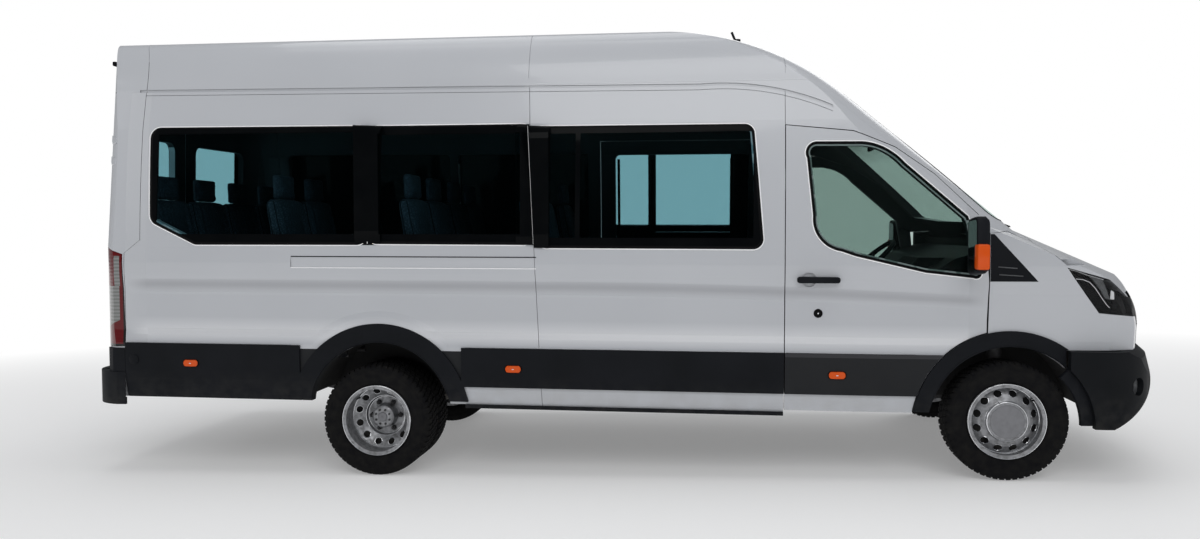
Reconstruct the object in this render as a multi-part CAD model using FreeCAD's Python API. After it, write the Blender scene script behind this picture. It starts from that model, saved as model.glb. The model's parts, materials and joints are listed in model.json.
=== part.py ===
import FreeCAD, Part
import math
import os
from FreeCAD import Vector as V

os.makedirs("parts", exist_ok=True)

# axles and wheels, in the ground frame: +X forward, +Y to the left, +Z up
front_axle_x = 2329.0
wheelbase = 3750.0
rear_axle_x = front_axle_x - wheelbase
tyre_radius = 345.0
tyre_width = 195.0
wheel_z = tyre_radius
rim_radius = 203.0
flange_radius = 220.0
front_wheel_y = 870.0
rear_outer_y = 902.0
twin_spacing = 214.0
kingpin_y = 715.0
kingpin_radius = 22.0
front_spindle_radius = 30.0
rear_spindle_radius = 40.0
running_fit = 0.3
seat_fit = 0.3

# how the unladen body stands: nose down about the wheel height
rake_deg = 1.25

# body shell, level, before the rake
side_y = 1016.0
floor_z = 680.0
floor_thick = 40.0
rail_y = 430.0
rail_width = 64.0
wall = 52.0
glass_thick = 6.0
shut_gap = 5.5
seam_gap = 3.0
gutter_z = 2386.0
crown_z = 2756.0
rear_x = -3318.0
taper_start = 1300.0
taper_radius = 16000.0
nose_axis_x = 1602.0
screen_slope_deg = 39.73
far = 9000.0
waist_z = 1390.0
rear_lean_deg = 1.2
side_lean_deg = 4.6
brow_centre = (305.0, 947.0)
brow_radius = 1840.5
cowl_front_x = 2478.0
bonnet_top = (2790.0, 0.0, 1395.5)
bonnet_slope_deg = 24.0
bonnet_crown_radius = 3620.0

# wheel arches in the side panels
rear_arch = (-1392.0, 352.0)
front_arch = (2335.0, 380.0)
arch_radius = 452.0
rear_flare_radius = 567.0
front_flare_radius = 541.0
rear_well_y = 560.0
front_well_y = 545.0
well_radius = 464.0
well_thick = 12.0
moulding_out = 14.0
moulding_top = 779.0
moulding_low = 540.0

# seams and doors, as x on the shell
b_seam_x = 1063.0
rear_seam_x = -2962.0
slide_rear_x = -240.0
rear_door_edge_y = 885.0
rear_door_bottom = 604.0
rear_door_top = 2376.0
bonnet_edge_y = 800.0

# towing sockets, as x of the mouth, y, z and the screwed depth
front_socket = (3330.0, -330.0, 640.0)
rear_socket = (-3367.0, 330.0, 407.0)
socket_radius = 9.0
socket_boss = 17.0
front_socket_depth = 72.0
rear_socket_depth = 59.0

# fog lamps in the front bumper's corners
fog_x = 3035.0
fog_y = 944.0
fog_z = 612.0
fog_radius = 50.0
fog_turn = math.radians(38)

# steering wheel
steer_centre = (1625.0, -480.0, 1290.0)
steer_tilt_deg = 48.0
steer_radius = 195.0


def wire(points, plane):
    """A closed wire of lines and three-point arcs; an arc row is (middle, end) after its start."""
    place = {"xz": lambda a: V(a[0], 0, a[1]), "yz": lambda a: V(0, a[0], a[1]),
             "xy": lambda a: V(a[0], a[1], 0)}[plane]
    edges, here = [], points[0]
    for row in points[1:]:
        if isinstance(row[0], tuple):
            edges.append(Part.Arc(place(here), place(row[0]), place(row[1])).toShape())
            here = row[1]
        else:
            edges.append(Part.makeLine(place(here), place(row)))
            here = row
    if place(here).distanceToPoint(place(points[0])) > 1e-6:
        edges.append(Part.makeLine(place(here), place(points[0])))
    return Part.Wire(edges)


def prism(points, plane, low, high):
    """The outline pushed along its plane's normal from low to high."""
    normal = {"xz": V(0, 1, 0), "yz": V(1, 0, 0), "xy": V(0, 0, 1)}[plane]
    face = Part.Face(wire(points, plane))
    face.translate(normal * low)
    return face.extrude(normal * (high - low))


def box(x0, x1, y0, y1, z0, z1):
    return Part.makeBox(x1 - x0, y1 - y0, z1 - z0, V(x0, y0, z0))


def rod(start, end, radius):
    a, b = V(*start), V(*end)
    return Part.makeCylinder(radius, (b - a).Length, a, b - a)


def turned(rows, centre, axis="y"):
    """A ring profile of (along, radius) rows turned about an axis through the centre."""
    if axis == "y":
        pts = [V(centre[0], centre[1] + a, centre[2] + r) for a, r in rows]
        way = V(0, 1, 0)
    else:
        pts = [V(centre[0] + r, centre[1], centre[2] + a) for a, r in rows]
        way = V(0, 0, 1)
    face = Part.Face(Part.makePolygon(pts + [pts[0]]))
    return face.revolve(V(*centre), way, 360)


def rounded(points, radius):
    """The outline's corners rounded, as rows for wire."""
    rows = []
    count = len(points)
    for i, here in enumerate(points):
        before, after = points[i - 1], points[(i + 1) % count]
        a = (before[0] - here[0], before[1] - here[1])
        b = (after[0] - here[0], after[1] - here[1])
        la, lb = math.hypot(*a), math.hypot(*b)
        a, b = (a[0] / la, a[1] / la), (b[0] / lb, b[1] / lb)
        half = math.acos(a[0] * b[0] + a[1] * b[1]) / 2
        run = min(radius / math.tan(half), 0.45 * la, 0.45 * lb)
        r = run * math.tan(half)
        m = (a[0] + b[0], a[1] + b[1])
        lm = math.hypot(*m)
        reach = r / math.sin(half) - r
        start = (here[0] + a[0] * run, here[1] + a[1] * run)
        middle = (here[0] + m[0] / lm * reach, here[1] + m[1] / lm * reach)
        end = (here[0] + b[0] * run, here[1] + b[1] * run)
        rows += [start, (middle, end)]
    return rows


def joined(shapes):
    out = shapes[0]
    if len(shapes) > 1:
        out = out.multiFuse(shapes[1:]).removeSplitter()
    return out


def mirrored(shape):
    return shape.mirror(V(0, 0, 0), V(0, 1, 0))


def both(shape):
    return joined([shape, mirrored(shape)])


def section(t):
    """The body's cross-section, set in by t all round."""
    return [
        (985 - t, 430), (1003 - t, 520), (1008 - t, 560), (1010 - t, 779), (1003 - t, 860),
        (1003 - t, 1130), (1009 - t, 1215), (1009 - t, 1290), (1001 - t, 1390),
        ((979 - t, 1770), (941 - t, 2140)), (893 - t, gutter_z),
        ((863 - t, 2534), (808 - 0.8 * t, 2648 - 0.5 * t)),
        ((772 - 0.6 * t, 2692 - 0.8 * t), (690 - 0.3 * t, 2714 - t)),
        ((0, crown_z - t), (-690 + 0.3 * t, 2714 - t)),
        ((-772 + 0.6 * t, 2692 - 0.8 * t), (-808 + 0.8 * t, 2648 - 0.5 * t)),
        ((-863 + t, 2534), (-893 + t, gutter_z)),
        (-941 + t, 2140), ((-979 + t, 1770), (-1001 + t, 1390)),
        (-1009 + t, 1290), (-1009 + t, 1215), (-1003 + t, 1130), (-1003 + t, 860),
        (-1010 + t, 779), (-1008 + t, 560), (-1003 + t, 520), (-985 + t, 430)]


def tube(t):
    """The section drawn along the body and bent inwards ahead of the front doors."""
    whole = Part.Face(wire(section(t), "yz"))
    straight = whole.copy()
    straight.translate(V(-3400, 0, 0))
    straight = straight.extrude(V(3400 + taper_start, 0, 0))
    half = whole.common(box(-1, 1, -far, 0, -far, far)).Faces[0]
    half.translate(V(taper_start, 0, 0))
    pivot = V(taper_start, taper_radius - side_y, 0)
    bent = half.revolve(pivot, V(0, 0, 1), 9.0)
    bent = bent.common(box(0, 4500, -far, 0, -far, far))
    return joined([straight, bent, mirrored(bent)])


def plan_rows(t):
    """The shell seen from above: bowed rear, round rear corners, bowed nose."""
    r = 1690.0 - t
    nose = nose_axis_x
    corner = ((rear_x + 86 + 0.8 * t, -926 + 0.6 * t), (rear_x + 210 + t, -1022 + t))
    return [(rear_x + t, 0), ((rear_x + 8 + t, -400), (rear_x + 38 + t, -780)), corner, (2500, -1022 + t),
            ((2830 - 0.5 * t, -945 + 0.8 * t), (nose + 0.86 * r, -0.51029 * r)),
            ((nose + r, 0), (nose + 0.86 * r, 0.51029 * r)),
            ((2830 - 0.5 * t, 945 - 0.8 * t), (2500, 1022 - t)), (rear_x + 210 + t, 1022 - t),
            ((rear_x + 86 + 0.8 * t, 926 - 0.6 * t), (rear_x + 38 + t, 780)),
            ((rear_x + 8 + t, 400), (rear_x + t, 0))]


def plan(t):
    return prism(plan_rows(t), "xy", 300, 2900)


def leaning_plan(t):
    """Above the waist the rear corners lean in and the rear leans forward; the two sides apart."""
    half = prism(plan_rows(t), "xy", 300, 3400)
    half.rotate(V(0, -side_y, waist_z), V(1, 0, 0), -side_lean_deg)
    half.rotate(V(rear_x, 0, waist_z), V(0, 1, 0), rear_lean_deg)
    return half.common(box(-far, far, -far, 0, waist_z, far))


def cabin_profile(t):
    """The cabin's limits seen from the side: rear roof edge and the foot of the windscreen."""
    rows = [(-3400, 400), (-3400, 2622), (rear_x + 24 + t, 2622 - t),
            ((rear_x + 52 + t, 2700 - t), (rear_x + 120 + t, 2738 - t)),
            (rear_x + 290 + t, 2764 - t), (cowl_front_x - t, 2764 - t), (cowl_front_x - t, 400)]
    return prism(rows, "xz", -1100, 1100)


def screen_rows(t):
    """Half-round outline square to the windscreen: the pillars and the bowed glass."""
    return [(-1300, -1100), (-1034 + t, -600 - t), (-969 + 0.9 * t, -263 - t),
            ((-884 + 0.6 * t, -146 - t), (-705 + 0.3 * t, -72 - t)), ((0, -t), (705 - 0.3 * t, -72 - t)),
            ((884 - 0.6 * t, -146 - t), (969 - 0.9 * t, -263 - t)), (1034 - t, -600 - t), (1300, -1100)]


def ahead_of_screen(t):
    """What is cut away ahead of the windscreen and over the round front of the roof."""
    over = Part.Face(wire(screen_rows(t) + [(1300, 1500), (-1300, 1500)], "yz"))
    over.translate(V(brow_centre[0], 0, brow_centre[1] + brow_radius))
    pivot = V(brow_centre[0], 0, brow_centre[1])
    brow = over.revolve(pivot, V(0, 1, 0), screen_slope_deg)
    straight = over.copy()
    straight.rotate(pivot, V(0, 1, 0), screen_slope_deg)
    angle = math.radians(screen_slope_deg)
    straight = straight.extrude(V(math.cos(angle), 0, -math.sin(angle)) * 4000)
    return brow.fuse(straight)


def nose_form(t):
    """The front of the wings and bonnet: a bowed front under a crowned bonnet line."""
    r = t
    front = [(nose_axis_x, 380), (3240 - r, 380), (3281 - r, 820), (3285 - r, 932),
             ((3268 - r, 1045), (3225 - r, 1140)), ((3165 - r, 1225 - r), (3060 - r, 1300 - r)),
             (2800, 1560), (nose_axis_x, 1560)]
    turnedfront = Part.Face(wire(front, "xz")).revolve(V(nose_axis_x, 0, 0), V(0, 0, 1), 360)
    top = [(2000, 380), (2000, 1560 - t), (2300, 1553 - t), (2512, 1500 - t), ((2790, 1392 - t), (3000, 1296 - t)),
           ((3120 - t, 1228 - t), (3205 - t, 1130 - t)), (3300, 900), (3300, 380)]
    angle = math.radians(bonnet_slope_deg)
    way = V(math.cos(angle), 0, -math.sin(angle))
    up = V(math.sin(angle), 0, math.cos(angle))
    radius = bonnet_crown_radius - t
    crown = Part.makeCylinder(radius, 4000, V(*bonnet_top) - up * bonnet_crown_radius - way * 1800, way)
    return turnedfront.common(prism(top, "xz", -1100, 1100)).common(crown)


def envelope(t):
    sides = tube(t)
    low = sides.common(plan(t)).common(box(-far, far, -far, far, 0, waist_z))
    lean = leaning_plan(t)
    high = sides.common(joined([lean, mirrored(lean)]))
    upper = joined([low, high]).common(cabin_profile(t)).cut(ahead_of_screen(t))
    lower = sides.common(plan(t)).common(nose_form(t))
    return joined([upper, lower])


mid_seam = [(-374.0, 430.0), (-391.0, 787.0), (-423.0, 1406.0), (-466.0, gutter_z)]
door_front = [(2200, 440), (2200, 986), (2208, 1191), (2190, 1400), (2167, 1583), (1927, 1821),
              (1697, 1976), (1448, 2069)]
gutter_line = [(-3400.0, 2386.0), (565.0, 2357.0), ((1040.0, 2319.0), (1335.0, 2217.0))]
gutter_back_x = -3005.0


def lifted(rows, dz):
    """Outline rows moved up by dz."""
    return [tuple((x, z + dz) for x, z in row) if isinstance(row[0], tuple) else (row[0], row[1] + dz) for row in rows]


def reversed_rows(rows):
    """The same open line of lines and arcs drawn the other way."""
    ends = [row[1] if isinstance(row[0], tuple) else row for row in rows]
    out = [ends[-1]]
    for i in range(len(rows) - 1, 0, -1):
        out.append((rows[i][0], ends[i - 1]) if isinstance(rows[i][0], tuple) else ends[i - 1])
    return out


def band_along(rows, low, high):
    """A strip that follows an open line in side view, from low to high above it."""
    return prism(lifted(rows, low) + reversed_rows(lifted(rows, high)), "xz", -1150, 1150)


outer = envelope(0)
recess = envelope(glass_thick + seat_fit)
inner = envelope(wall)
groove_skin = outer.cut(recess)
gutter = [(gutter_back_x, 2383.1)] + gutter_line[1:]
grooves = joined([band_along(gutter, -8, 8), band_along([(rear_seam_x, 2382.8)] + gutter_line[1:], -31, -28)])
roof_seams = joined([box(x - 1.5, x + 1.5, -1100, 1100, 2420, 2900) for x in (-472, b_seam_x)]
                    + [prism([(-2963.5, 2380), ((-2969, 2560), (-3023.5, 2705)), (-3026, 2800), (-3023, 2800),
                              (-3020.5, 2705), ((-2966, 2560), (-2960.5, 2380))], "xz", -1100, 1100)])
over_gutter = prism(gutter_line + [(1335, gutter_z), (3200, gutter_z), (3200, 3100), (-3500, 3100), (-3500, 2386.7)],
                    "xz", -1200, 1200)
shell = outer.cut(inner).cut(groove_skin.common(grooves)).cut(groove_skin.common(roof_seams))
panels = shell.cut(over_gutter)
skin = groove_skin
skin_deep = outer.cut(envelope(26))
trim_form = tube(-moulding_out).common(plan(-moulding_out)).cut(outer)


def side(points, hand, deep=500):
    """A side-view region on one side: hand -1 is the right (driver's) side."""
    return prism(points, "xz", -1150, -deep) if hand < 0 else prism(points, "xz", deep, 1150)


def disc(centre, radius, hand, deep=500):
    y0 = -1150 if hand < 0 else deep
    return rod((centre[0], y0, centre[1]), (centre[0], y0 + 1150 - deep, centre[1]), radius)


def grown(points, d):
    """The same outline pushed out by d (in for a negative d) with corners kept."""
    face = Part.Face(wire(points, "xz"))
    return face.makeOffset2D(d, 2)


def pushed(face, hand):
    y0 = -1150 if hand < 0 else 500
    moved = face.copy()
    moved.translate(V(0, y0, 0))
    return moved.extrude(V(0, 650, 0))


def window(panel, outline, hand, frame_in=26.0, gap=1.5):
    """Cuts a glass recess and its hole; returns the panel and the glass."""
    seat = pushed(grown(outline, 0.01), hand)
    hole = pushed(grown(outline, -frame_in), hand)
    pane = pushed(grown(outline, -gap), hand)
    glass = skin.common(pane)
    return panel.cut(seat.common(skin)).cut(hole), glass


def door_outline(d):
    """The front door's outline pushed out by d."""
    edge = b_seam_x + shut_gap / 2 - d
    top = [(x, z + d) for x, z in door_front[4:]]
    front = [(2200 + d, 440 - d)] + [(x + d, z) for x, z in door_front[1:4]]
    return [(edge, 440 - d), (edge, 2108 + d)] + top[::-1] + front[::-1]


rear_glass_front = rounded([(-1446, 1408), (-1446, 2137), (-462, 2137), (-445, 1404)], 45)
rear_glass_rear = rounded([(-2908, 2146), (-1462, 2139), (-1462, 1402), (-2590, 1401), (-2894, 1546)], 70)
rear_glass_rows = [rear_glass_rear, rear_glass_front]
rear_glass_left = rounded([(-1446, 1408), (-1446, 2137), (-320, 2137), (-320, 1404)], 45)
mid_glass = rounded([(-400, 1386), (-440, 2122), (882, 2120), (945, 1382)], 62)
slide_glass = rounded([(-150, 1390), (-150, 2122), (960, 2122), (960, 1388)], 62)
door_glass = [(1219, 1578), (1184, 1915), ((1192, 1988), (1240, 2012)), (1500, 2010), ((1640, 1970), (1748, 1884)),
              (2098, 1576), (2165, 1240), ((2150, 1222), (2120, 1222)), (1853, 1251), (1465, 1343),
              (1380, 1372), ((1268, 1432), (1219, 1578))]
lamp_outline = [(2640, 1284), (2886, 1215), (3014, 1113), (3110, 1100), (3400, 1100), (3400, 905), (3075, 950),
                (3066, 1000), (2824, 1024), (2684, 1218)]


rear_edge = [(-3066.5, 430.0), (-3066.5, 1349.0), (rear_seam_x + seam_gap / 2, 1432.0)]
corner_trim = [(2214.5, 1203.0), (2214.5, 1474.0), (2236.0, 1474.0), (2482.0, 1203.0)]


def swage(hand):
    """The raised ring in the panel over the rear wheel."""
    cone = Part.makeCone(rear_flare_radius + 84, rear_flare_radius + 44, 9.5, V(rear_arch[0], hand * 1001.5, rear_arch[1]),
                         V(0, hand, 0))
    above = box(-2200, -600, -1100, 1100, moulding_top + 1, 1200)
    return cone.common(above).cut(disc(rear_arch, rear_flare_radius + 1, hand))


def quarter(hand):
    """Body side from the rear corner to the seam, windows cut."""
    if hand < 0:
        front = [(x - seam_gap / 2, z) for x, z in mid_seam]
        region = side(rear_edge[:1] + front + [(rear_seam_x + seam_gap / 2, 2450)] + rear_edge[:0:-1], hand)
    else:
        region = side(rear_edge[:1] + [(slide_rear_x - shut_gap, 430), (slide_rear_x - shut_gap, 2206),
                                       (b_seam_x - seam_gap, 2206), (b_seam_x - seam_gap, 2450),
                                       (rear_seam_x + seam_gap / 2, 2450)] + rear_edge[:0:-1], hand)
    panel = joined([panels.common(region), swage(hand)]).cut(disc(rear_arch, arch_radius, hand))
    low_rear = side([(-3100, 420), (-1900, 420), (-1900, moulding_low), (-3100, moulding_low)], hand)
    y0, y1 = sorted((hand * 1004.6, hand * 1100))
    panel = panel.cut(low_rear).cut(box(-1956, 0, y0, y1, 1264, 1330))
    glasses = []
    for row in rear_glass_rows if hand < 0 else [rear_glass_rows[0], rear_glass_left]:
        panel, glass = window(panel, row, hand)
        glasses.append(glass)
    return panel, glasses


def mid_panel():
    back = [(x + seam_gap / 2, z) for x, z in mid_seam]
    edge = b_seam_x - shut_gap / 2
    panel = panels.common(side(back + [(edge, 2450), (edge, 430)], -1))
    return window(panel, mid_glass, -1)


def slide_door():
    x0, x1 = slide_rear_x, b_seam_x - shut_gap / 2
    panel = panels.common(side([(x0, 470), (x1, 470), (x1, 2200), (x0, 2200)], 1))
    panel, glass = window(panel, slide_glass, 1)
    strip = [(x0, moulding_low), (x1, moulding_low), (x1, moulding_top), (x0, moulding_top)]
    return joined([panel, trim_form.common(side(strip, 1))]), glass


def front_door(hand):
    panel = panels.common(side(door_outline(0), hand, 300))
    panel = panel.cut(disc(front_arch, front_flare_radius + shut_gap, hand))
    panel, glass = window(panel, door_glass, hand)
    edge = b_seam_x + shut_gap / 2
    band = trim_form.common(side([(edge, moulding_low), (2100, moulding_low), (2100, moulding_top),
                                  (edge, moulding_top)], hand))
    band = band.cut(disc(front_arch, front_flare_radius + shut_gap, hand))
    handle = box(1137, 1369, *sorted((hand * 1006, hand * 1042)), 1193, 1223)
    bowl = rod((1200, hand * 996, 1208), (1200, hand * 1100, 1208), 42)
    dish = bowl.cut(handle)
    return joined([panel, band, handle]).cut(dish), glass


def wing(hand):
    """Front wing with the arch lip behind and ahead of the wheel."""
    region = side([(2200 + shut_gap, 700), (2213.5, 1191), (2213.5, 1478), (2343, 1489), (2481, 1430),
                   (2640, 1295), (3400, 1295), (3400, 812.3), (2400, 812.3)], hand, 300)
    lip = disc(front_arch, front_flare_radius, hand)
    lip = lip.common(side([(1700, 446), (2950, 446), (2950, 950), (1700, 950)], hand))
    panel = panels.common(joined([region, lip])).cut(disc(front_arch, arch_radius, hand))
    panel = panel.common(box(1500, 3500, *sorted((hand * (bonnet_edge_y + 3), hand * 1200)), 300, 1700))
    lamp_hole = prism(lamp_outline, "xz", *sorted((hand * 560, hand * 1200)))
    lower_front = box(2645, 3500, -1200, 1200, 300, 812.3)
    return panel.cut(lamp_hole).cut(lower_front).cut(side(corner_trim, hand, 803).common(skin_deep))


def corner_piece(hand):
    """The black corner panel between the door, the screen pillar and the bonnet."""
    return skin_deep.common(panels).common(side(corner_trim, hand, 803.3))


def lamp(hand):
    y0, y1 = sorted((hand * 603, hand * 1200))
    face = Part.Face(wire(lamp_outline, "xz")).makeOffset2D(-2.0, 2)
    face.translate(V(0, y0, 0))
    return shell.common(face.extrude(V(0, y1 - y0, 0)))


def bonnet_lid():
    rows = [(2500, 1700), (2500, 1380), (2640, 1300), (3000, 1138), (3400, 1138), (3400, 1700)]
    lid = panels.common(prism(rows, "xz", -bonnet_edge_y + 3, bonnet_edge_y - 3))
    face = Part.Face(wire(lamp_outline, "xz")).makeOffset2D(shut_gap, 2)
    for low, high in ((-1200, -597), (597, 1200)):
        lamp_room = face.copy()
        lamp_room.translate(V(0, low, 0))
        lid = lid.cut(lamp_room.extrude(V(0, high - low, 0)))
    return max(lid.Solids, key=lambda solid: solid.Volume)


def grille_panel():
    rows = [(3050, 812.3), (3400, 812.3), (3400, 1131), (3050, 1131)]
    panel = panels.common(prism(rows, "xz", -602.7, 602.7))
    for z in (860, 915, 970, 1025, 1080):
        panel = panel.cut(box(2900, 3400, -560, 560, z, z + 34).cut(
            joined([box(2900, 3400, y - 9, y + 9, 800, 1200) for y in (-280, 0, 280)])))
    return panel


def screen_frame():
    """Windscreen frame: pillars, header and cowl, one pressed piece; half of it, on the right."""
    piece = panels.common(box(b_seam_x, 2690, -1100, 0, 1330, gutter_z))
    piece = piece.cut(side(door_outline(shut_gap), -1, 300))
    piece = piece.cut(side([(2150, 1200), (2150, 1478), (2213.5, 1480), (2343, 1492), (2481, 1433), (2640, 1298),
                            (3400, 1298), (3400, 1200)], -1, bonnet_edge_y))
    return piece.cut(prism([(2494, 1700), (2494, 1376), (2640, 1290), (3400, 1290), (3400, 1700)], "xz", -806, 6))


screen_outline = [(-600, 2338), ((-640, 2326), (-655, 2290)), (-818, 1625), ((-820, 1585), (-790, 1556)),
                  (-560, 1530), ((0, 1520), (560, 1530)), (790, 1556), ((820, 1585), (818, 1625)), (655, 2290),
                  ((640, 2326), (600, 2338))]


def windscreen_pane(frame):
    seat = prism(screen_outline, "yz", 1350, 2700)
    face = Part.Face(wire(screen_outline, "yz"))
    hole = face.makeOffset2D(-30, 2)
    hole.translate(V(1300, 0, 0))
    pane = face.makeOffset2D(-1.5, 2)
    pane.translate(V(1300, 0, 0))
    right = box(1000, 3000, -1100, 0, 1000, 2600)
    glass = skin.common(right).common(pane.extrude(V(1400, 0, 0)))
    frame = frame.cut(seat.common(right).common(skin)).cut(hole.extrude(V(1400, 0, 0)))
    return both(frame), both(glass)


def rear_frame():
    piece = panels.common(box(-3500, rear_seam_x - seam_gap / 2, -1100, 1100, 430, 2450))
    gap = [(x - seam_gap, z) for x, z in rear_edge]
    piece = piece.cut(prism([gap[0], gap[1], gap[2], (-2900, 1432), (-2900, 430)], "xz", -1200, -905))
    piece = piece.cut(prism([gap[0], gap[1], gap[2], (-2900, 1432), (-2900, 430)], "xz", 905, 1200))
    door_way = box(-3500, -3080, -rear_door_edge_y - shut_gap, rear_door_edge_y + shut_gap,
                   rear_door_bottom - shut_gap, rear_door_top + shut_gap)
    lamps = prism([(-3400, 1394), (-3225, 1389), (-3080, 1342), (-3067, 754), (-3400, 744)], "xz", -1100, 1100)
    lamps = lamps.cut(box(-3500, -3000, -899, 899, 600, 1500))
    return piece.cut(door_way).cut(lamps.common(skin_deep))


def tail_lamp(hand):
    y0, y1 = sorted((hand * 901, hand * 1100))
    face = Part.Face(wire([(-3400, 1392), (-3225, 1387), (-3082, 1340), (-3069, 756), (-3400, 746)], "xz"))
    face.translate(V(0, y0, 0))
    return skin_deep.common(face.extrude(V(0, y1 - y0, 0)))


def rear_door(hand):
    y0, y1 = sorted((hand * shut_gap / 2, hand * rear_door_edge_y))
    door = panels.common(box(-3500, -3080, y0, y1, rear_door_bottom, rear_door_top))
    outline = [(hand * a, z) for a, z in ((110, 1400), (110, 2150), (790, 2150), (790, 1400))]
    face = Part.Face(wire(rounded(outline, 90), "yz"))
    seat = face.copy()
    hole = face.makeOffset2D(-26, 2)
    pane = face.makeOffset2D(-1.5, 2)
    for f in (seat, hole, pane):
        f.translate(V(-3500, 0, 0))
    way = V(420, 0, 0)
    glass = skin.common(pane.extrude(way))
    return door.cut(seat.extrude(way).common(skin)).cut(hole.extrude(way)), glass


def mouldings(hand):
    """Side band, arch flares and sill trim that stay on the body."""
    d = disc
    ring_rear = d(rear_arch, rear_flare_radius, hand).cut(d(rear_arch, arch_radius, hand))
    ring_front = d(front_arch, front_flare_radius, hand).cut(d(front_arch, arch_radius, hand))
    low = [(-3064, 436), (-1900, 436), (-1900, moulding_top), (-3064, moulding_top)]
    x1 = b_seam_x - shut_gap / 2 if hand < 0 else slide_rear_x - shut_gap
    band = [(-870, moulding_low), (x1, moulding_low), (x1, moulding_top), (-870, moulding_top)]
    regions = joined([ring_rear.common(side([(-2100, 446), (-800, 446), (-800, 1000), (-2100, 1000)], hand)),
                      side(low, hand), side(band, hand)])
    regions = regions.cut(d(rear_arch, arch_radius, hand))
    front = ring_front.common(side([(1700, 446), (2644, 446), (2950, 812), (2950, 1000), (1700, 1000)], hand))
    front = front.cut(box(2640, 3400, -1200, 1200, 300, 816))
    step = box(-850, 1060, *sorted((hand * 905, hand * 1000)), 408, 429.7)
    return [trim_form.common(regions), trim_form.common(front), inner_side(hand), corner_piece(hand), step]


def inner_side(hand):
    """The plastic lower quarter behind the wheel, where the panel stops short."""
    region = side([(rear_edge[0][0], 372), (-1905, 372), (-1905, moulding_low), (rear_edge[0][0], moulding_low)], hand)
    deep = outer.cut(inner).common(box(-3100, -1900, -1100, 1100, 430, moulding_low))
    return deep.common(region).cut(disc(rear_arch, arch_radius, hand))


def front_bumper():
    def form(t):
        prof = [(nose_axis_x, 374), (3240 - t, 374), ((3345 - t, 520), (3352 - t, 678)), (3330 - t, 770),
                (3285 - t, 812), (nose_axis_x, 812)]
        nose = Part.Face(wire(prof, "xz")).revolve(V(nose_axis_x, 0, 0), V(0, 0, 1), 360)
        y_side, middle = side_y - t, (3013 - 0.6 * t, 966 - 0.8 * t)
        corner = (3143 - 0.88 * t, 831 - 0.47 * t)
        rows = [(2400, y_side), (2834, y_side), (middle, corner), (corner[0] + 400, 300), (corner[0] + 400, -300),
                (corner[0], -corner[1]), ((middle[0], -middle[1]), (2834, -y_side)), (2400, -y_side)]
        return nose.common(prism(rows, "xy", 300, 900))
    piece = form(0).cut(form(44)).common(box(2400, 3400, -1100, 1100, 374, 812))
    for hand in (-1, 1):
        piece = piece.cut(disc(front_arch, arch_radius, hand)).cut(
            disc(front_arch, front_flare_radius, hand).common(box(2300, 2645, -1200, 1200, 300, 1000)))
        piece = piece.cut(box(2300, 2648, -1200, 1200, 300, 900))
        piece = piece.cut(fog_rod(hand, -60, 150, fog_radius + 1))
    piece = piece.cut(box(2900, 3400, -420, 420, 470, 590))
    return socket(piece, front_socket, -106, front_socket_depth)


def socket(bumper, mouth, boss_run, depth):
    """A screwed towing socket: a boss let into the bumper with a blind hole."""
    x, y, z = mouth
    way = 1 if boss_run > 0 else -1
    boss = rod(mouth, (x + boss_run, y, z), socket_boss)
    return joined([bumper, boss]).cut(rod(mouth, (x + way * depth, y, z), socket_radius))


def fog_rod(hand, start, end, radius):
    """A rod on a fog lamp's axis, which points forward and outward through the bumper's corner."""
    way = (math.cos(fog_turn), hand * math.sin(fog_turn), 0)
    centre = (fog_x, hand * fog_y, fog_z)
    ends = [tuple(c + along * w for c, w in zip(centre, way)) for along in (start, end)]
    return rod(*ends, radius)


def fog_lamps():
    return [fog_rod(hand, -60, -30, fog_radius) for hand in (-1, 1)]


def rear_bumper():
    rows = [(-3066, -1026), (-3118, -1032), ((-3280, -950), (-3336, -800)), ((-3370, 0), (-3336, 800)),
            ((-3280, 950), (-3118, 1032)), (-3066, 1026)]
    body = prism(rows, "xy", 385, 592)
    piece = body.cut(joined([plan(0).common(box(-3400, 0, -1100, 1100, 429.7, 700)),
                            box(-3282, 0, -920, 920, 300, 700), box(-3158, 0, -1010, 1010, 300, 700)]))
    corners = trim_form.common(box(-3200, -3066, -1100, 1100, 591, moulding_low + 205))
    return socket(joined([piece, corners]), rear_socket, 75, rear_socket_depth)


def wheel_wells():
    """The round boxes over the wheels and the room they leave."""
    wells, rooms = [], []
    for hand in (-1, 1):
        for centre, deep in ((rear_arch, rear_well_y), (front_arch, front_well_y)):
            start, y_out = hand * (deep - well_thick), hand * 1100
            rooms.append(rod((centre[0], hand * deep, centre[1]), (centre[0], y_out, centre[1]), well_radius))
            wells.append(rod((centre[0], start, centre[1]), (centre[0], y_out, centre[1]), well_radius + well_thick))
    inside = inner.common(box(-4000, 4000, -1000, 1000, 470, 1000))
    return [w.common(inside).cut(joined(rooms)) for w in wells], joined(wells)


def clear_of_doors(piece):
    """Room for the front doors' inner faces and for the steps in the doorways."""
    for hand in (-1, 1):
        piece = piece.cut(box(b_seam_x - 4, 1900, *sorted((hand * (1010 - wall - 9), hand * 1100)), 300, 1500))
        piece = piece.cut(box(1800, 2222, *sorted((hand * (1010 - wall - 40), hand * 1100)), 300, 1500))
    return piece


def rails():
    top = floor_z - floor_thick
    sides = [(h * rail_y - rail_width / 2, h * rail_y + rail_width / 2) for h in (-1, 1)]
    long_rails = [box(-3180, 2940, low, high, 480, top) for low, high in sides]
    horns = [box(2940, 3300, low, high, 500, 600) for low, high in sides]
    cross = [box(x, x + 80, -rail_y, rail_y, top - 48, top) for x in (-3100, -2300, -700, 700, 1500)]
    return joined(long_rails + horns + cross)


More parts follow.
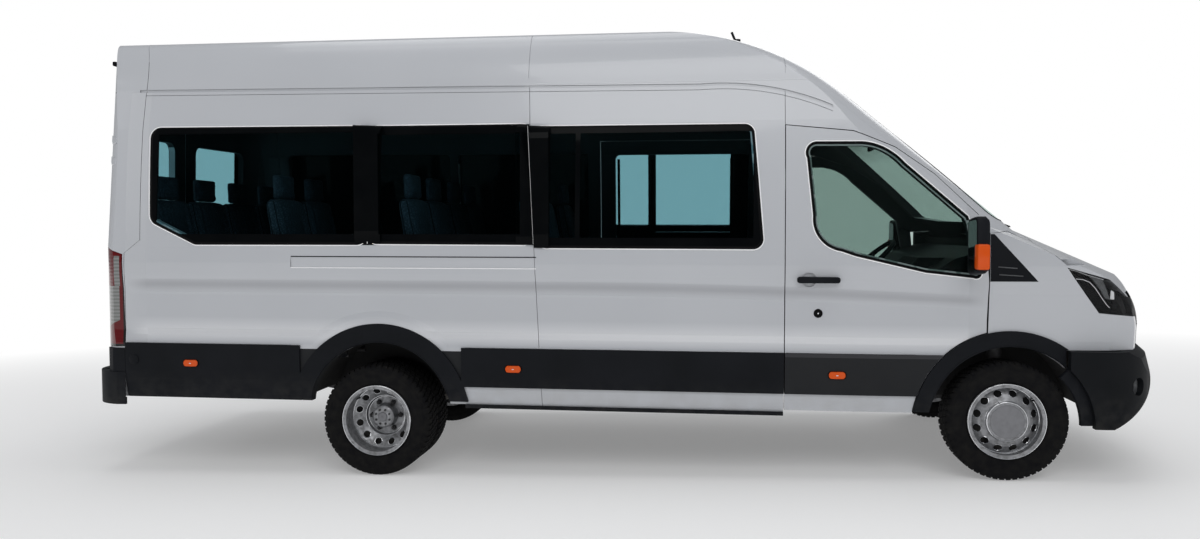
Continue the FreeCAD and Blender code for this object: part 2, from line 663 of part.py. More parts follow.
engine_length, engine_width, engine_height = 520.0, 560.0, 510.0
engine_rear_x, engine_base_z = 2440.0, 500.0
radiator_x, radiator_thick, radiator_base_z, radiator_top_z = 3010.0, 50.0, 520.0, 1040.0


def engine_block():
    half = engine_width / 2
    return box(engine_rear_x, engine_rear_x + engine_length, -half, half, engine_base_z, engine_base_z + engine_height)


def radiator():
    half = rail_y - rail_width / 2 - seat_fit
    return box(radiator_x, radiator_x + radiator_thick, -half, half, radiator_base_z, radiator_top_z)


def front_suspension():
    """Cross-beam, lower arms, kingpins and spring struts; kingpins upright."""
    pieces = [box(front_axle_x - 90, front_axle_x + 90, -520, 520, 330, 470)]
    for h in (-1, 1):
        y0, y1 = sorted((h * 480, h * (kingpin_y + 26)))
        pieces.append(box(front_axle_x - 45, front_axle_x + 45, y0, y1, 215, 240))
        y0, y1 = sorted((h * 460, h * 500))
        pieces.append(box(front_axle_x - 60, front_axle_x + 60, y0, y1, 215, 340))
        pieces.append(rod((front_axle_x, h * kingpin_y, 215), (front_axle_x, h * kingpin_y, 900), kingpin_radius))
        pieces.append(rod((front_axle_x, h * kingpin_y, 470), (front_axle_x, h * kingpin_y, 900), 44))
    return joined(pieces)


def knuckle(h):
    """Hub carrier on its kingpin, with the spindle and steering arm."""
    x = front_axle_x
    sleeve = rod((x, h * kingpin_y, 245), (x, h * kingpin_y, 464), 40)
    carrier = rod((x, h * (kingpin_y - 10), wheel_z), (x, h * 800, wheel_z), 66)
    spindle = rod((x, h * 780, wheel_z), (x, h * 905, wheel_z), front_spindle_radius)
    y0, y1 = sorted((h * (kingpin_y - 46), h * (kingpin_y - 16)))
    arm = box(x - 170, x, y0, y1, 300, 330)
    out = joined([sleeve, carrier, spindle, arm])
    return out.cut(rod((x, h * kingpin_y, 100), (x, h * kingpin_y, 900), kingpin_radius + running_fit))


def tyre(x, y):
    w = tyre_width / 2
    bead, low = 79.6, rim_radius + seat_fit
    half = [(bead, low), (bead, flange_radius + 1.5), (w - 3, flange_radius + 12), (w, 285), (w - 11, 330),
            (w - 26, tyre_radius)]
    rows = half + [(-a, r) for a, r in half[::-1]]
    return turned(rows, (x, y, wheel_z))


def hand_holes(x, y, radius, size, count=12):
    cutters = []
    for i in range(count):
        a = 2 * math.pi * (i + 0.5) / count
        cx, cz = x + radius * math.cos(a), wheel_z + radius * math.sin(a)
        y0 = y - 120
        cutters.append(rod((cx, y0, cz), (cx, y0 + 240, cz), size))
    return cutters[0].multiFuse(cutters[1:])


def barrel(x, y):
    rows = [(-88, 196), (-88, flange_radius), (-82, flange_radius), (-80, rim_radius), (80, rim_radius),
            (82, flange_radius), (88, flange_radius), (88, 196)]
    return turned(rows, (x, y, wheel_z))


def front_rim(h):
    x, y = front_axle_x, h * front_wheel_y
    disc_rows = [(20, 198), (30, 198), (58, 152), (74, 114), (90, 112), (94, 96), (94, 0), (66, 0), (66, 108),
                 (48, 146)]
    hub_rows = [(-64, front_spindle_radius + running_fit), (-64, 62), (70, 62), (70, 0), (46, 0),
                (46, front_spindle_radius + running_fit)]
    dish = turned([(h * a, r) for a, r in disc_rows], (x, y, wheel_z))
    hub = turned([(h * a, r) for a, r in hub_rows], (x, y, wheel_z))
    dish = dish.cut(hand_holes(x, y, 163, 14))
    return joined([barrel(x, y), dish, hub])


def rear_rim(h):
    x, yo, yi = rear_axle_x, h * rear_outer_y, h * (rear_outer_y - twin_spacing)
    mid = h * (rear_outer_y - twin_spacing / 2)
    outer_rows = [(66, 198), (74, 198), (52, 160), (30, 130), (9, 122), (9, 60), (0, 60), (0, 128), (22, 136),
                  (42, 162)]
    inner_rows = [(-a, r) for a, r in outer_rows]
    hub_rows = [(-150, rear_spindle_radius + running_fit), (-150, 78), (0, 78), (30, 74), (78, 70), (84, 60),
                (84, 0), (68, 0), (68, rear_spindle_radius + running_fit)]
    solids = [barrel(x, yo), barrel(x, yi)]
    dishes = [turned([(h * a, r) for a, r in rows], (x, mid, wheel_z)) for rows in (outer_rows, inner_rows)]
    dishes = [d.cut(hand_holes(x, mid, 166, 13)) for d in dishes]
    return joined(solids + dishes + [turned([(h * a, r) for a, r in hub_rows], (x, mid, wheel_z))])


def rear_axle():
    x = rear_axle_x
    pieces = [rod((x, -600, wheel_z), (x, 600, wheel_z), 45),
              rod((x, -855, wheel_z), (x, 855, wheel_z), rear_spindle_radius),
              rod((x, -110, wheel_z), (x, 110, wheel_z), 135),
              rod((x, 0, wheel_z), (x + 200, 0, wheel_z + 8), 60)]
    for h in (-1, 1):
        pieces.append(rod((x, h * 560, wheel_z), (x, h * 632, wheel_z), 76))
    return joined(pieces)


def leaf_springs():
    """Leaf springs with hangers on the rails and saddles on the axle; level with the body."""
    out = []
    for h in (-1, 1):
        y0, y1 = sorted((h * (rail_y + 38), h * (rail_y + 98)))
        leaf_rows = [(-2110, 470), ((-1421, 384), (-740, 470)), (-740, 496), ((-1421, 414), (-2110, 496))]
        leaf = prism(leaf_rows, "xz", y0, y1)
        y2, y3 = sorted((h * (rail_y + 32), h * (rail_y + 98)))
        hangers = [box(x - 30, x + 30, y2, y3, 462, 560) for x in (-2110, -740)]
        saddle = box(-1471, -1371, y0, y1, 300, 400)
        out.append(joined([leaf, saddle] + hangers))
    return out


def driveline():
    case = box(1900, engine_rear_x - seat_fit, -150, 150, 524, floor_z - floor_thick - seat_fit)
    gearbox = joined([case, rod((1905, 0, 565), (1720, 0, 550), 55)])
    shaft = rod((1725, 0, 550), (rear_axle_x + 205, 0, 322), 38)
    return joined([gearbox, shaft])


def exhaust():
    run = [(2200, -320, 530), (1500, -320, 530), (-600, -320, 500), (-900, -320, 500)]
    pieces = [rod(a, b, 28) for a, b in zip(run, run[1:])]
    pieces.append(rod((-100, -310, 505), (520, -310, 505), 82))
    pieces += [rod((-900, -320, 500), (-1150, -320, 452), 28)]
    return joined(pieces)


def fuel_tank():
    return box(250, 1150, 480, 880, 440, floor_z - floor_thick)


def seat_shape(x, y, width):
    """Cushion, backrest and headrest on a leg frame that stands on the floor."""
    def pad(rows, half):
        return prism([(x + a, floor_z + b) for a, b in rows], "xz", y - half, y + half)
    cushion = pad([(-20, 330), (440, 350), (470, 400), (455, 455), (30, 440), (-20, 410)], width / 2)
    back = pad([(-30, 410), (70, 430), (-40, 1010), (-80, 1030), (-120, 1000)], width / 2)
    rest = pad([(-58, 1012), (-68, 1180), (-128, 1175), (-118, 1000)], headrest_width / 2)
    leg = pad([(40, 0), (400, 0), (400, 340), (40, 340)], width / 2 - leg_inset)
    return joined([cushion, back, rest, leg])


headrest_width = 260.0
leg_inset = 60.0
cabin_seat_width = 436.0
seat_rows = [  # front of the backrest foot x, then each seat's centre y
    (-420.0, (-700.0, -250.0, 690.0)),
    (-1180.0, (-700.0, -250.0, 250.0, 700.0)),
    (-2050.0, (-700.0, -250.0, 700.0)),
    (-2880.0, (-690.0, -230.0, 230.0, 690.0)),
]


def cabin_seats():
    return [seat_shape(x, y, cabin_seat_width) for x, places in seat_rows for y in places]


front_seat_x = 1085.0
front_seat_rows = [(-500.0, 500.0), (230.0, 440.0), (680.0, 440.0)]  # centre y, width: driver, then the pair


def front_seats():
    return [seat_shape(front_seat_x, y, width) for y, width in front_seat_rows]


def dash():
    rows = [(1880, 1090), (1930, 1260), (2040, 1330), (2240, 1392), (2289.7, 1392), (2289.7, 900), (2100, 880),
            (1960, 960)]
    body = prism(rows, "xz", -908, 908).common(inner)
    pod_rows = [(1800, 1050), (1795, 1230), (1880, 1330), (2040, 1330), (2010, 960)]
    pod = prism(pod_rows, "xz", -690, -280)
    a = math.radians(steer_tilt_deg)
    way = V(math.cos(a), 0, -math.sin(a))
    c = V(*steer_centre)
    column = Part.makeCylinder(32, 420, c + way * 62, way)
    out = joined([body, pod, column])
    return out.cut(Part.makeCylinder(12.3, 200, c, way))


def steering_wheel():
    a = math.radians(steer_tilt_deg)
    way = V(math.cos(a), 0, -math.sin(a))
    c = V(*steer_centre)
    up = V(math.sin(a), 0, math.cos(a))
    ring = [c + up * (steer_radius + 15 * math.cos(q)) + way * 15 * math.sin(q)
            for q in [math.pi * (i + 0.5) / 4 for i in range(8)]]
    rim = Part.Face(Part.makePolygon(ring + ring[:1])).revolve(c, way, 360)
    hub = Part.makeCylinder(48, 34, c - way * 2, way)
    shaft = Part.makeCylinder(12, 150, c + way * 20, way)
    arms = []
    for deg in (-65, 65, 180):
        t = math.radians(deg)
        d = up * math.cos(t) + V(0, 1, 0) * math.sin(t)
        start, end = c + way * 14 + d * 30, c + d * (steer_radius - 4)
        arms.append(Part.makeCylinder(11, (end - start).Length, start, end - start))
    return joined([rim, hub, shaft] + arms)


def mirror(h):
    """Door mirror: a tall shell with rounded corners on two arms from the door's corner."""
    side_rows = rounded([(2048, 1246), (2040, 1566), (2118, 1578), (2176, 1540), (2184, 1275), (2130, 1232)], 26)
    head = prism(side_rows, "xz", *sorted((h * 1010, h * 1236)))
    front_rows = rounded([(h * 1022, 1236), (h * 1014, 1560), (h * 1212, 1578), (h * 1232, 1262)], 48)
    head = head.common(prism(front_rows, "yz", 2000, 2250))
    arms = [box(2080, 2130, *sorted((h * 940, h * 1050)), z, z + 30) for z in (1268, 1330)]
    return joined([head] + arms)


def antenna():
    whip = joined([rod((806, -300, 2690), (764, -300, 2790), 8), rod((800, -300, 2690), (800, -300, 2742), 22)])
    return max(whip.cut(outer).Solids, key=lambda s: s.BoundBox.ZMax)


def raked(shape):
    """The body's nose-down stance, turned about the wheel height at mid-length."""
    out = shape.copy()
    out.rotate(V(0, 0, wheel_z), V(0, 1, 0), rake_deg)
    return out


def solids_of(shapes):
    found = []
    for s in shapes if isinstance(shapes, list) else [shapes]:
        found += [p for p in s.Solids if p.Volume > 2000]
    return found


def write(name, shapes, sprung=True):
    solids = solids_of(shapes)
    whole = solids[0] if len(solids) == 1 else Part.makeCompound(solids)
    if sprung:
        whole = raked(whole)
    whole.exportStep("parts/" + name + ".step")
    print(name, len(solids), "solids", "valid" if whole.isValid() else "NOT VALID", round(whole.Volume / 1e6, 2), "l")
    return whole


quarter_right, glasses_right = quarter(-1)
quarter_left, glasses_left = quarter(1)
mid_right, mid_pane = mid_panel()
slide, slide_pane = slide_door()
roof_piece = shell.common(over_gutter)
frame_front, front_pane = windscreen_pane(screen_frame())
wells, well_forms = wheel_wells()
floor_piece = inner.common(box(-3254, 2290, -1000, 1000, floor_z - floor_thick, floor_z)).cut(well_forms)
floor_piece = clear_of_doors(floor_piece)
bulkhead = inner.common(box(2290, 2306, -1000, 1000, floor_z - floor_thick, 1440)).cut(well_forms)
bumper_front = front_bumper()
rail_piece = max(rails().cut(bumper_front).cut(box(3240, 3400, -900, 900, 300, 800)).Solids, key=lambda s: s.Volume)

write("quarter_right", quarter_right)
write("quarter_left", quarter_left)
write("mid_panel_right", mid_right)
write("sliding_door", slide)
write("side_glass_right", glasses_right + [mid_pane])
write("side_glass_left", glasses_left + [slide_pane])
write("roof", [roof_piece])
write("windscreen_frame", frame_front)
write("windscreen", front_pane)
write("rear_frame", rear_frame())
write("tail_lamps", [tail_lamp(-1), tail_lamp(1)])
write("bonnet", bonnet_lid())
write("grille", grille_panel())
write("headlamps", [lamp(-1), lamp(1)])
write("front_bumper", bumper_front)
write("fog_lamps", fog_lamps())
write("rear_bumper", rear_bumper())
write("floor", floor_piece)
write("wheel_wells", [clear_of_doors(w) for w in wells])
write("bulkhead", bulkhead)
write("chassis_rails", rail_piece)
write("engine", engine_block())
write("radiator", radiator())
write("driveline", driveline())
write("exhaust", exhaust())
write("fuel_tank", fuel_tank())
write("cabin_seats", [seat.cut(well_forms) for seat in cabin_seats()])
write("front_seats", front_seats())
write("dash", dash())
write("steering_wheel", steering_wheel())
write("antenna", antenna())
right_door, right_pane = front_door(-1)
right_rear_door, right_rear_pane = rear_door(-1)
for hand, word in ((-1, "right"), (1, "left")):
    door, pane = (right_door, right_pane) if hand < 0 else (mirrored(right_door), mirrored(right_pane))
    write("front_door_" + word, door)
    write("front_door_glass_" + word, pane)
    write("mirror_" + word, [max(mirror(hand).cut(door).cut(pane).Solids, key=lambda s: s.Volume)])
    write("wing_" + word, wing(hand))
    write("mouldings_" + word, mouldings(hand))
    door, pane = (right_rear_door, right_rear_pane)
    if hand > 0:
        door, pane = mirrored(door), mirrored(pane)
    write("rear_door_" + word, door)
    write("rear_door_glass_" + word, pane)
    write("knuckle_" + word, knuckle(hand), sprung=False)
    write("front_rim_" + word, front_rim(hand), sprung=False)
    write("front_tyre_" + word, tyre(front_axle_x, hand * front_wheel_y), sprung=False)
    write("rear_rim_" + word, rear_rim(hand), sprung=False)
    write("rear_tyres_" + word, [tyre(rear_axle_x, hand * rear_outer_y),
                                 tyre(rear_axle_x, hand * (rear_outer_y - twin_spacing))], sprung=False)
axle = write("rear_axle", rear_axle(), sprung=False)
suspension = front_suspension().cut(raked(joined(wells))).cut(raked(rail_piece))
write("front_suspension", [max(suspension.Solids, key=lambda s: s.Volume)], sprung=False)
springs = [raked(s).cut(axle) for s in leaf_springs()]
write("leaf_springs", springs, sprung=False)
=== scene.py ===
import bpy, bmesh, json, math
from mathutils import Matrix, Vector
from mathutils.bvhtree import BVHTree


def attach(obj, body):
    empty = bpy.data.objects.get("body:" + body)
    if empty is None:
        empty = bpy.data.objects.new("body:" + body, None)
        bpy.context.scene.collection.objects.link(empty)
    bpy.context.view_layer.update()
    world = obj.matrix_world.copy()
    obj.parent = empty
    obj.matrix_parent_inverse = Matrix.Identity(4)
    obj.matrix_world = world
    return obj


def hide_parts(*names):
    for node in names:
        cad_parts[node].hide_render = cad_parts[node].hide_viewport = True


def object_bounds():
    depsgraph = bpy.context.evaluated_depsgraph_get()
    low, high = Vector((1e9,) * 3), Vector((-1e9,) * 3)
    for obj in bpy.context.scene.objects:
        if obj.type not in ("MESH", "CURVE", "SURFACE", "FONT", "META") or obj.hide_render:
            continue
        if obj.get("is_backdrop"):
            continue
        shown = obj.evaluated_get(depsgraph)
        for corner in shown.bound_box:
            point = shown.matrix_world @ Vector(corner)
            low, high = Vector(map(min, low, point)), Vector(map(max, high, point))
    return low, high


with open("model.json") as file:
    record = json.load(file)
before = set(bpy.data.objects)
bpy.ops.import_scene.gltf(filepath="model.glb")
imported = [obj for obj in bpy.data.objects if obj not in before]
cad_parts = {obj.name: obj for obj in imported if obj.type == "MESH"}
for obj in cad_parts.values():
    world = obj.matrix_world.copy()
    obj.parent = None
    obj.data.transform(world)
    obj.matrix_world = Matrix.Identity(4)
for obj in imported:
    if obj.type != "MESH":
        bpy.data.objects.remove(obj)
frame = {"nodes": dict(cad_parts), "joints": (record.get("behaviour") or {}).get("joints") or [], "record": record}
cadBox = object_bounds()
print("frame loaded", [round(v, 3) for corner in cadBox for v in corner])

# the body stands nose down: the lean is read from a front door's hinge line
hingeLine = next(Vector(j["axis"]) for j in frame["joints"] if j["name"] == "front_door_right_hinge")
lean = math.atan2(hingeLine.x, hingeLine.z)
wheelHeight = 0.345
toGround = (Matrix.Translation((0, 0, wheelHeight)) @ Matrix.Rotation(lean, 4, "Y")
            @ Matrix.Translation((0, 0, -wheelHeight)))
sides = (("right", -1), ("left", 1))


def at(x, y, z):  # a point of the level drawing, in mm, as the van stands, in metres
    return toGround @ (Vector((x, y, z)) * 0.001)


def turned(x, y, z):  # a direction of the level drawing, as the van stands
    return toGround.to_3x3() @ Vector((x, y, z))


class Wire:  # one socket of a node tree, with ordinary arithmetic
    def __init__(self, paint, socket):
        self.paint, self.socket = paint, socket

    def sum(self, kind, other, swap=False):
        pair = [other, self] if swap else [self, other]
        return self.paint.node("Math", {"operation": kind}, {0: pair[0], 1: pair[1]})

    def __add__(self, other): return self.sum("ADD", other)
    def __radd__(self, other): return self.sum("ADD", other)
    def __sub__(self, other): return self.sum("SUBTRACT", other)
    def __rsub__(self, other): return self.sum("SUBTRACT", other, True)
    def __mul__(self, other): return self.sum("MULTIPLY", other)
    def __rmul__(self, other): return self.sum("MULTIPLY", other)
    def __gt__(self, other): return self.sum("GREATER_THAN", other)
    def __lt__(self, other): return self.sum("LESS_THAN", other)
    def __or__(self, other): return self.sum("MAXIMUM", other)


class Paint:  # a material and its nodes
    def __init__(self, name):
        self.material = bpy.data.materials.new(name)
        self.material.use_nodes = True
        self.tree = self.material.node_tree
        self.tree.nodes.clear()
        self.end = self.tree.nodes.new("ShaderNodeOutputMaterial")

    def node(self, kind, settings=None, inputs=None, out=0):
        n = self.tree.nodes.new("ShaderNode" + kind)
        for key, value in (settings or {}).items():
            setattr(n, key, value)
        for key, value in (inputs or {}).items():
            if isinstance(value, Wire):
                self.tree.links.new(value.socket, n.inputs[key])
            else:
                n.inputs[key].default_value = value
        return Wire(self, n.outputs[out])

    def split(self, vector):
        first = self.node("SeparateXYZ", {}, {0: vector})
        return [Wire(self, socket) for socket in first.socket.node.outputs]

    def place(self):  # where a point is on the object at rest
        return self.node("TexCoord", out="Object")

    def level(self):  # x, y and z before the nose-down lean, in metres
        x, y, z = self.split(self.place())
        up = z - wheelHeight
        return (x * math.cos(lean) - up * math.sin(lean), y,
                x * math.sin(lean) + up * math.cos(lean) + wheelHeight)

    def within(self, value, low, high):
        return (value > low) * (value < high)

    def noise(self, scale, detail=3.0, stretch=(1, 1, 1)):
        where = self.node("Mapping", {}, {"Vector": self.place(), "Scale": stretch})
        return self.node("TexNoise", {}, {"Vector": where, "Scale": scale, "Detail": detail}, "Fac")

    def blend(self, mask, low, high):
        return self.node("Mix", {"data_type": "RGBA"}, {0: mask, 6: low, 7: high}, 2)

    def spread(self, value, low, high):  # 0..1 over a stretch of value
        return self.node("MapRange", {"clamp": True}, {0: value, 1: low, 2: high, 3: 0.0, 4: 1.0})

    def bump(self, height, strength, depth=0.001):
        return self.node("Bump", {}, {"Height": height, "Strength": strength, "Distance": depth})

    def close(self, shader):
        self.tree.links.new(shader.socket, self.end.inputs["Surface"])
        return self.material

    def solid(self, inputs):
        return self.node("BsdfPrincipled", {}, {key.replace("_", " "): value for key, value in inputs.items()})

    def finish(self, **inputs):
        return self.close(self.solid(inputs))

    def finishGlass(self, see, tint, **inputs):  # a glossy face, tinted and see-through as far as see says
        solid = self.solid(inputs)
        through = self.node("BsdfTransparent", {}, {"Color": tint})
        return self.close(self.node("MixShader", {}, {0: see, 1: solid, 2: through}))


def grey(level, blue=1.0):
    return (level, level, level * blue, 1)


paintLook = {"white": (0.52, 0.535, 0.565, 1), "shade": (0.485, 0.50, 0.53, 1), "dust": (0.30, 0.29, 0.27, 1),
             "inside": (0.035, 0.037, 0.042, 1), "black": (0.004, 0.005, 0.007, 1)}
# the black band over the doors, in metres of the level drawing, and the front arch that it stops at
bandLook = {"low": 0.5395, "top": 0.7795, "chamfer": 0.757, "rear": -0.2455, "front": 2.1, "footFront": 1.843,
            "archX": 2.335, "archZ": 0.380, "archRadius": 0.5465}
# the pressed line along the side, at its rear end, and the swelling under it
relief = {"crease": 1.155, "bendFrom": -0.3, "fall": 0.011, "rear": (-3.06, -2.92), "front": (2.2, 2.1)}


def makeWhitePaint():
    p = Paint("white_paint")
    x, y, z = p.level()
    b = bandLook
    film = p.spread(z, 0.8, 0.4) * p.spread(p.noise(7.0, 5.0), 0.35, 0.75) * 0.35
    base = p.blend(p.noise(1.6, 2.0), paintLook["white"], paintLook["shade"])
    base = p.blend(film, base, paintLook["dust"])
    nx, ny, nz = p.split(p.node("NewGeometry", out="Normal"))
    facing = nx * x * 0.2 + ny * y + nz * (z - 1.3)  # below zero on the faces that look into the cabin
    inside = (facing < -0.3) * (z < 2.9)
    base = p.blend(inside, base, paintLook["inside"])
    ax, az = x - b["archX"], z - b["archZ"]
    pastArch = ax * ax + az * az > b["archRadius"] ** 2
    onFlank = y * y > 0.80
    band = p.within(z, b["low"], b["top"]) * p.within(x, b["rear"], b["front"]) * (y * y > 0.92) * pastArch
    foot = p.within(z, 0.40, b["low"]) * p.within(x, b["footFront"], 2.2) * onFlank * pastArch
    besideRearArch = p.within(x, -2.0, -1.6) | p.within(x, -1.1, -0.8685) * (z > b["low"])
    band = band | foot | (z < 0.7575) * besideRearArch * onFlank
    # the chamfer at the top of the band is a lighter black than the rest: a painted highlight where it faces the sky
    base = p.blend(band, base, p.blend(z > b["chamfer"], paintLook["black"], grey(0.03, 1.15)))
    inside = inside | band
    ahead = (x - relief["bendFrom"]) | 0.0
    above = z - (relief["crease"] - ahead * ahead * relief["fall"])
    flank = onFlank * p.spread(x, *relief["rear"]) * p.spread(x, *relief["front"])
    # painted shadow in a soft band along the pressed crease, and a painted highlight in the band just above the black
    # band
    shadow = p.spread(above, -0.040, -0.006) * p.spread(above, 0.040, 0.006) * flank
    base = p.blend(shadow * 0.34, base, grey(0.22, 1.1))
    paintedHighlight = p.spread(z, 0.95, 0.87) * p.spread(z, 0.79, 0.84) * flank * (1.0 - inside)
    base = p.blend(paintedHighlight * 0.35, base, grey(0.95, 1.02))
    press = p.spread(above, -0.05, 0.03) * 0.030 + p.spread(z, 1.09, 0.87) * 0.030 + p.spread(z, 0.875, 0.835) * 0.015
    pressed = p.bump(press * flank, 1.0, 1.0)
    peel = p.node("Bump", {}, {"Height": p.noise(260.0, 2.0), "Strength": 0.03, "Distance": 0.0006,
                               "Normal": pressed})
    return p.finish(Base_Color=base, Roughness=0.28 + film * 0.35 + inside * 0.5, Coat_Weight=0.5 - inside * 0.5,
                    Coat_Roughness=0.06, Normal=peel)


def makePlastic(name, colour, worn, grain=900.0, rough=0.6, depth=0.25, edge=0.0):
    p = Paint(name)
    base = p.blend(p.spread(p.noise(3.0, 4.0), 0.35, 0.7), colour, worn)
    x, y, z = p.level()
    if edge:  # the chamfer along the top of the side band catches the sky
        chamfer = p.within(z, 0.756, 0.7785) * p.within(x, -3.1, 2.05)
        base = p.blend(chamfer * edge, base, grey(0.05, 1.15))
    splash = p.spread(z, 0.62, 0.3) * p.spread(p.noise(16.0, 6.0), 0.4, 0.8) * 0.3
    base = p.blend(splash, base, (0.10, 0.095, 0.085, 1))
    return p.finish(Base_Color=base, Roughness=rough + splash * 0.2, Specular_IOR_Level=0.14,
                    Normal=p.bump(p.noise(grain, 2.0), depth, 0.0005))


def makeLens(name, tint, alpha, rough=0.03, shine=0.5):
    p = Paint(name)
    smear = p.spread(p.noise(5.0, 5.0), 0.45, 0.8)
    base = p.blend(smear * 0.06, tint, grey(0.25))
    return p.finish(Base_Color=base, Roughness=rough + smear * 0.05, Alpha=alpha, Specular_IOR_Level=shine,
                    Coat_Weight=shine * 0.3, Coat_Roughness=0.02)


# see-through parts of the dark side windows, level drawing in metres: hand, x from, x to, z from, z to
clearPanes = [(-1, -2.85, -1.54, 1.47, 2.10), (-1, -1.385, -0.505, 1.47, 2.08), (-1, -0.33, -0.175, 1.45, 2.075),
              (-1, -0.145, 0.88, 1.45, 2.075), (1, -0.135, 0.136, 1.538, 2.10), (1, 0.199, 0.793, 1.538, 2.10)]


def makeDarkGlass():
    p = Paint("glass_dark")
    x, y, z = p.level()
    clear = p.within(z, 1.43, 2.14) * p.within(y * y, 0.13 ** 2, 0.72 ** 2) * (x < -3.1)
    for hand, x0, x1, z0, z1 in clearPanes:
        clear = clear | (p.within(x, x0, x1) * p.within(z, z0, z1) * (y * hand > 0.0))
    smear = p.spread(p.noise(4.0, 5.0), 0.4, 0.8)
    # outside the see-through parts the pane is opaque near-black: painted shade for the dark cabin seen through the
    # tint
    base = p.blend(clear, (0.0015, 0.002, 0.0025, 1), (0.003, 0.006, 0.006, 1))
    return p.finishGlass(clear * 0.95, (0.64, 0.785, 0.81, 1), Base_Color=p.blend(smear * 0.01, base, grey(0.2)),
                         Roughness=0.03 + smear * 0.04, Specular_IOR_Level=0.05)


def makeClearGlass():
    p = Paint("glass_clear")
    x, y, z = p.level()
    shade = p.spread(z, 1.98, 2.2) * (x > 1.5) * (y * y < 0.7)  # the tinted band along the top of the windscreen
    smear = p.spread(p.noise(6.0, 5.0), 0.45, 0.8)
    return p.finishGlass(0.88 - shade * 0.4, (0.72, 0.80, 0.775, 1), Roughness=0.02 + smear * 0.04,
                         Base_Color=p.blend(smear * 0.03, (0.004, 0.008, 0.0075, 1), grey(0.3)),
                         Specular_IOR_Level=0.3)


def makeTailLens():
    p = Paint("lens_red")
    x, y, z = p.level()
    clear = (p.within(z, 1.138, 1.33) * p.within(x, -3.139, -3.101)
             | ((z - (x + 3.107) * 0.43 > 0.921) * (z < 1.138) * (x < -3.107)))
    rim = (x > -3.084) | (z < 0.768) | (z > 1.384)
    rib = p.node("TexWave", {"wave_type": "BANDS", "bands_direction": "Z"},
                 {"Vector": p.place(), "Scale": 14.0}, "Fac")
    base = p.blend(clear, (0.11, 0.002, 0.004, 1), p.blend(rib, (0.16, 0.165, 0.16, 1), (0.26, 0.265, 0.26, 1)))
    return p.finish(Base_Color=p.blend(rim, base, grey(0.008)), Roughness=0.15, Coat_Weight=0.1,
                    Coat_Roughness=0.03, Specular_IOR_Level=0.25, Normal=p.bump(rib, 0.12, 0.001))


def makeMetal(name, colour, dirt, rough=0.35, metallic=1.0, grain=60.0, film=0.6):
    p = Paint(name)
    grime = p.spread(p.noise(grain, 6.0), 0.4, 0.75) * film
    return p.finish(Base_Color=p.blend(grime, colour, dirt), Roughness=rough + grime * 0.3, Metallic=metallic,
                    Normal=p.bump(p.noise(grain * 14, 2.0), 0.12, 0.0005))


def makeRubber():
    p = Paint("tyre_rubber")
    dust = p.spread(p.noise(22.0, 6.0), 0.35, 0.8)
    base = p.blend(dust, (0.004, 0.004, 0.005, 1), (0.014, 0.0135, 0.0125, 1))
    return p.finish(Base_Color=base, Roughness=0.8 + dust * 0.15, Specular_IOR_Level=0.12,
                    Normal=p.bump(p.noise(600.0, 3.0), 0.2, 0.0006))


def makeCloth(name, colour, fleck):
    p = Paint(name)
    weave = p.node("TexWave", {"wave_type": "BANDS", "bands_direction": "DIAGONAL"},
                   {"Vector": p.place(), "Scale": 90.0, "Distortion": 1.0}, "Fac")
    mottle = p.spread(p.noise(120.0, 2.0), 0.5, 0.62)
    return p.finish(Base_Color=p.blend(mottle, colour, fleck), Roughness=0.92,
                    Normal=p.bump(weave * 0.6 + p.noise(900.0, 2.0), 0.4, 0.0012))


looks = {
    "white_paint": makeWhitePaint(),
    "glass_dark": makeDarkGlass(),
    "glass_clear": makeClearGlass(),
    "plastic_dark": makePlastic("plastic_dark", (0.004, 0.005, 0.007, 1), (0.007, 0.008, 0.011, 1)),
    "plastic_grey": makePlastic("plastic_grey", (0.0035, 0.0045, 0.006, 1), (0.006, 0.007, 0.009, 1), edge=0.8),
    "lens_red": makeTailLens(),
    "lens_clear": makeLens("lens_clear", (0.035, 0.038, 0.042, 1), 0.14, 0.03),
    "tyre_rubber": makeRubber(),
    "rim_silver": makeMetal("rim_silver", (0.33, 0.335, 0.35, 1), (0.09, 0.088, 0.085, 1), 0.36, 0.6, 40.0, 0.7),
    "steel_dark": makeMetal("steel_dark", (0.06, 0.06, 0.063, 1), (0.03, 0.027, 0.024, 1), 0.5, 0.7),
    "underbody": makeMetal("underbody", (0.012, 0.012, 0.013, 1), (0.03, 0.028, 0.025, 1), 0.8, 0.0),
    "seat_cloth": makeCloth("seat_cloth", (0.02, 0.024, 0.035, 1), (0.06, 0.07, 0.095, 1)),
    "cast_iron": makeMetal("cast_iron", (0.12, 0.115, 0.11, 1), (0.07, 0.05, 0.035, 1), 0.65, 0.5),
}
amber = makeLens("amber_lens", (0.70, 0.085, 0.004, 1), 1.0, 0.12, 0.2)
# bright_trim_and_highlight: bright metal parts, and also the rings of painted highlight on the wheels
brightTrimAndHighlight = makeMetal("bright_trim_and_highlight", (0.75, 0.76, 0.78, 1), (0.4, 0.4, 0.4, 1), 0.12, 1.0, 20.0, 0.15)
mirrorFace = makeMetal("mirror_face", (0.8, 0.82, 0.84, 1), (0.7, 0.72, 0.74, 1), 0.02, 1.0, 5.0, 0.1)
capGrey = makeMetal("cap_grey", (0.22, 0.222, 0.235, 1), (0.15, 0.15, 0.16, 1), 0.42, 0.3, 30.0, 0.4)
lampGrey = makeMetal("lamp_grey", (0.11, 0.115, 0.12, 1), (0.05, 0.05, 0.055, 1), 0.35, 0.6, 30.0, 0.6)
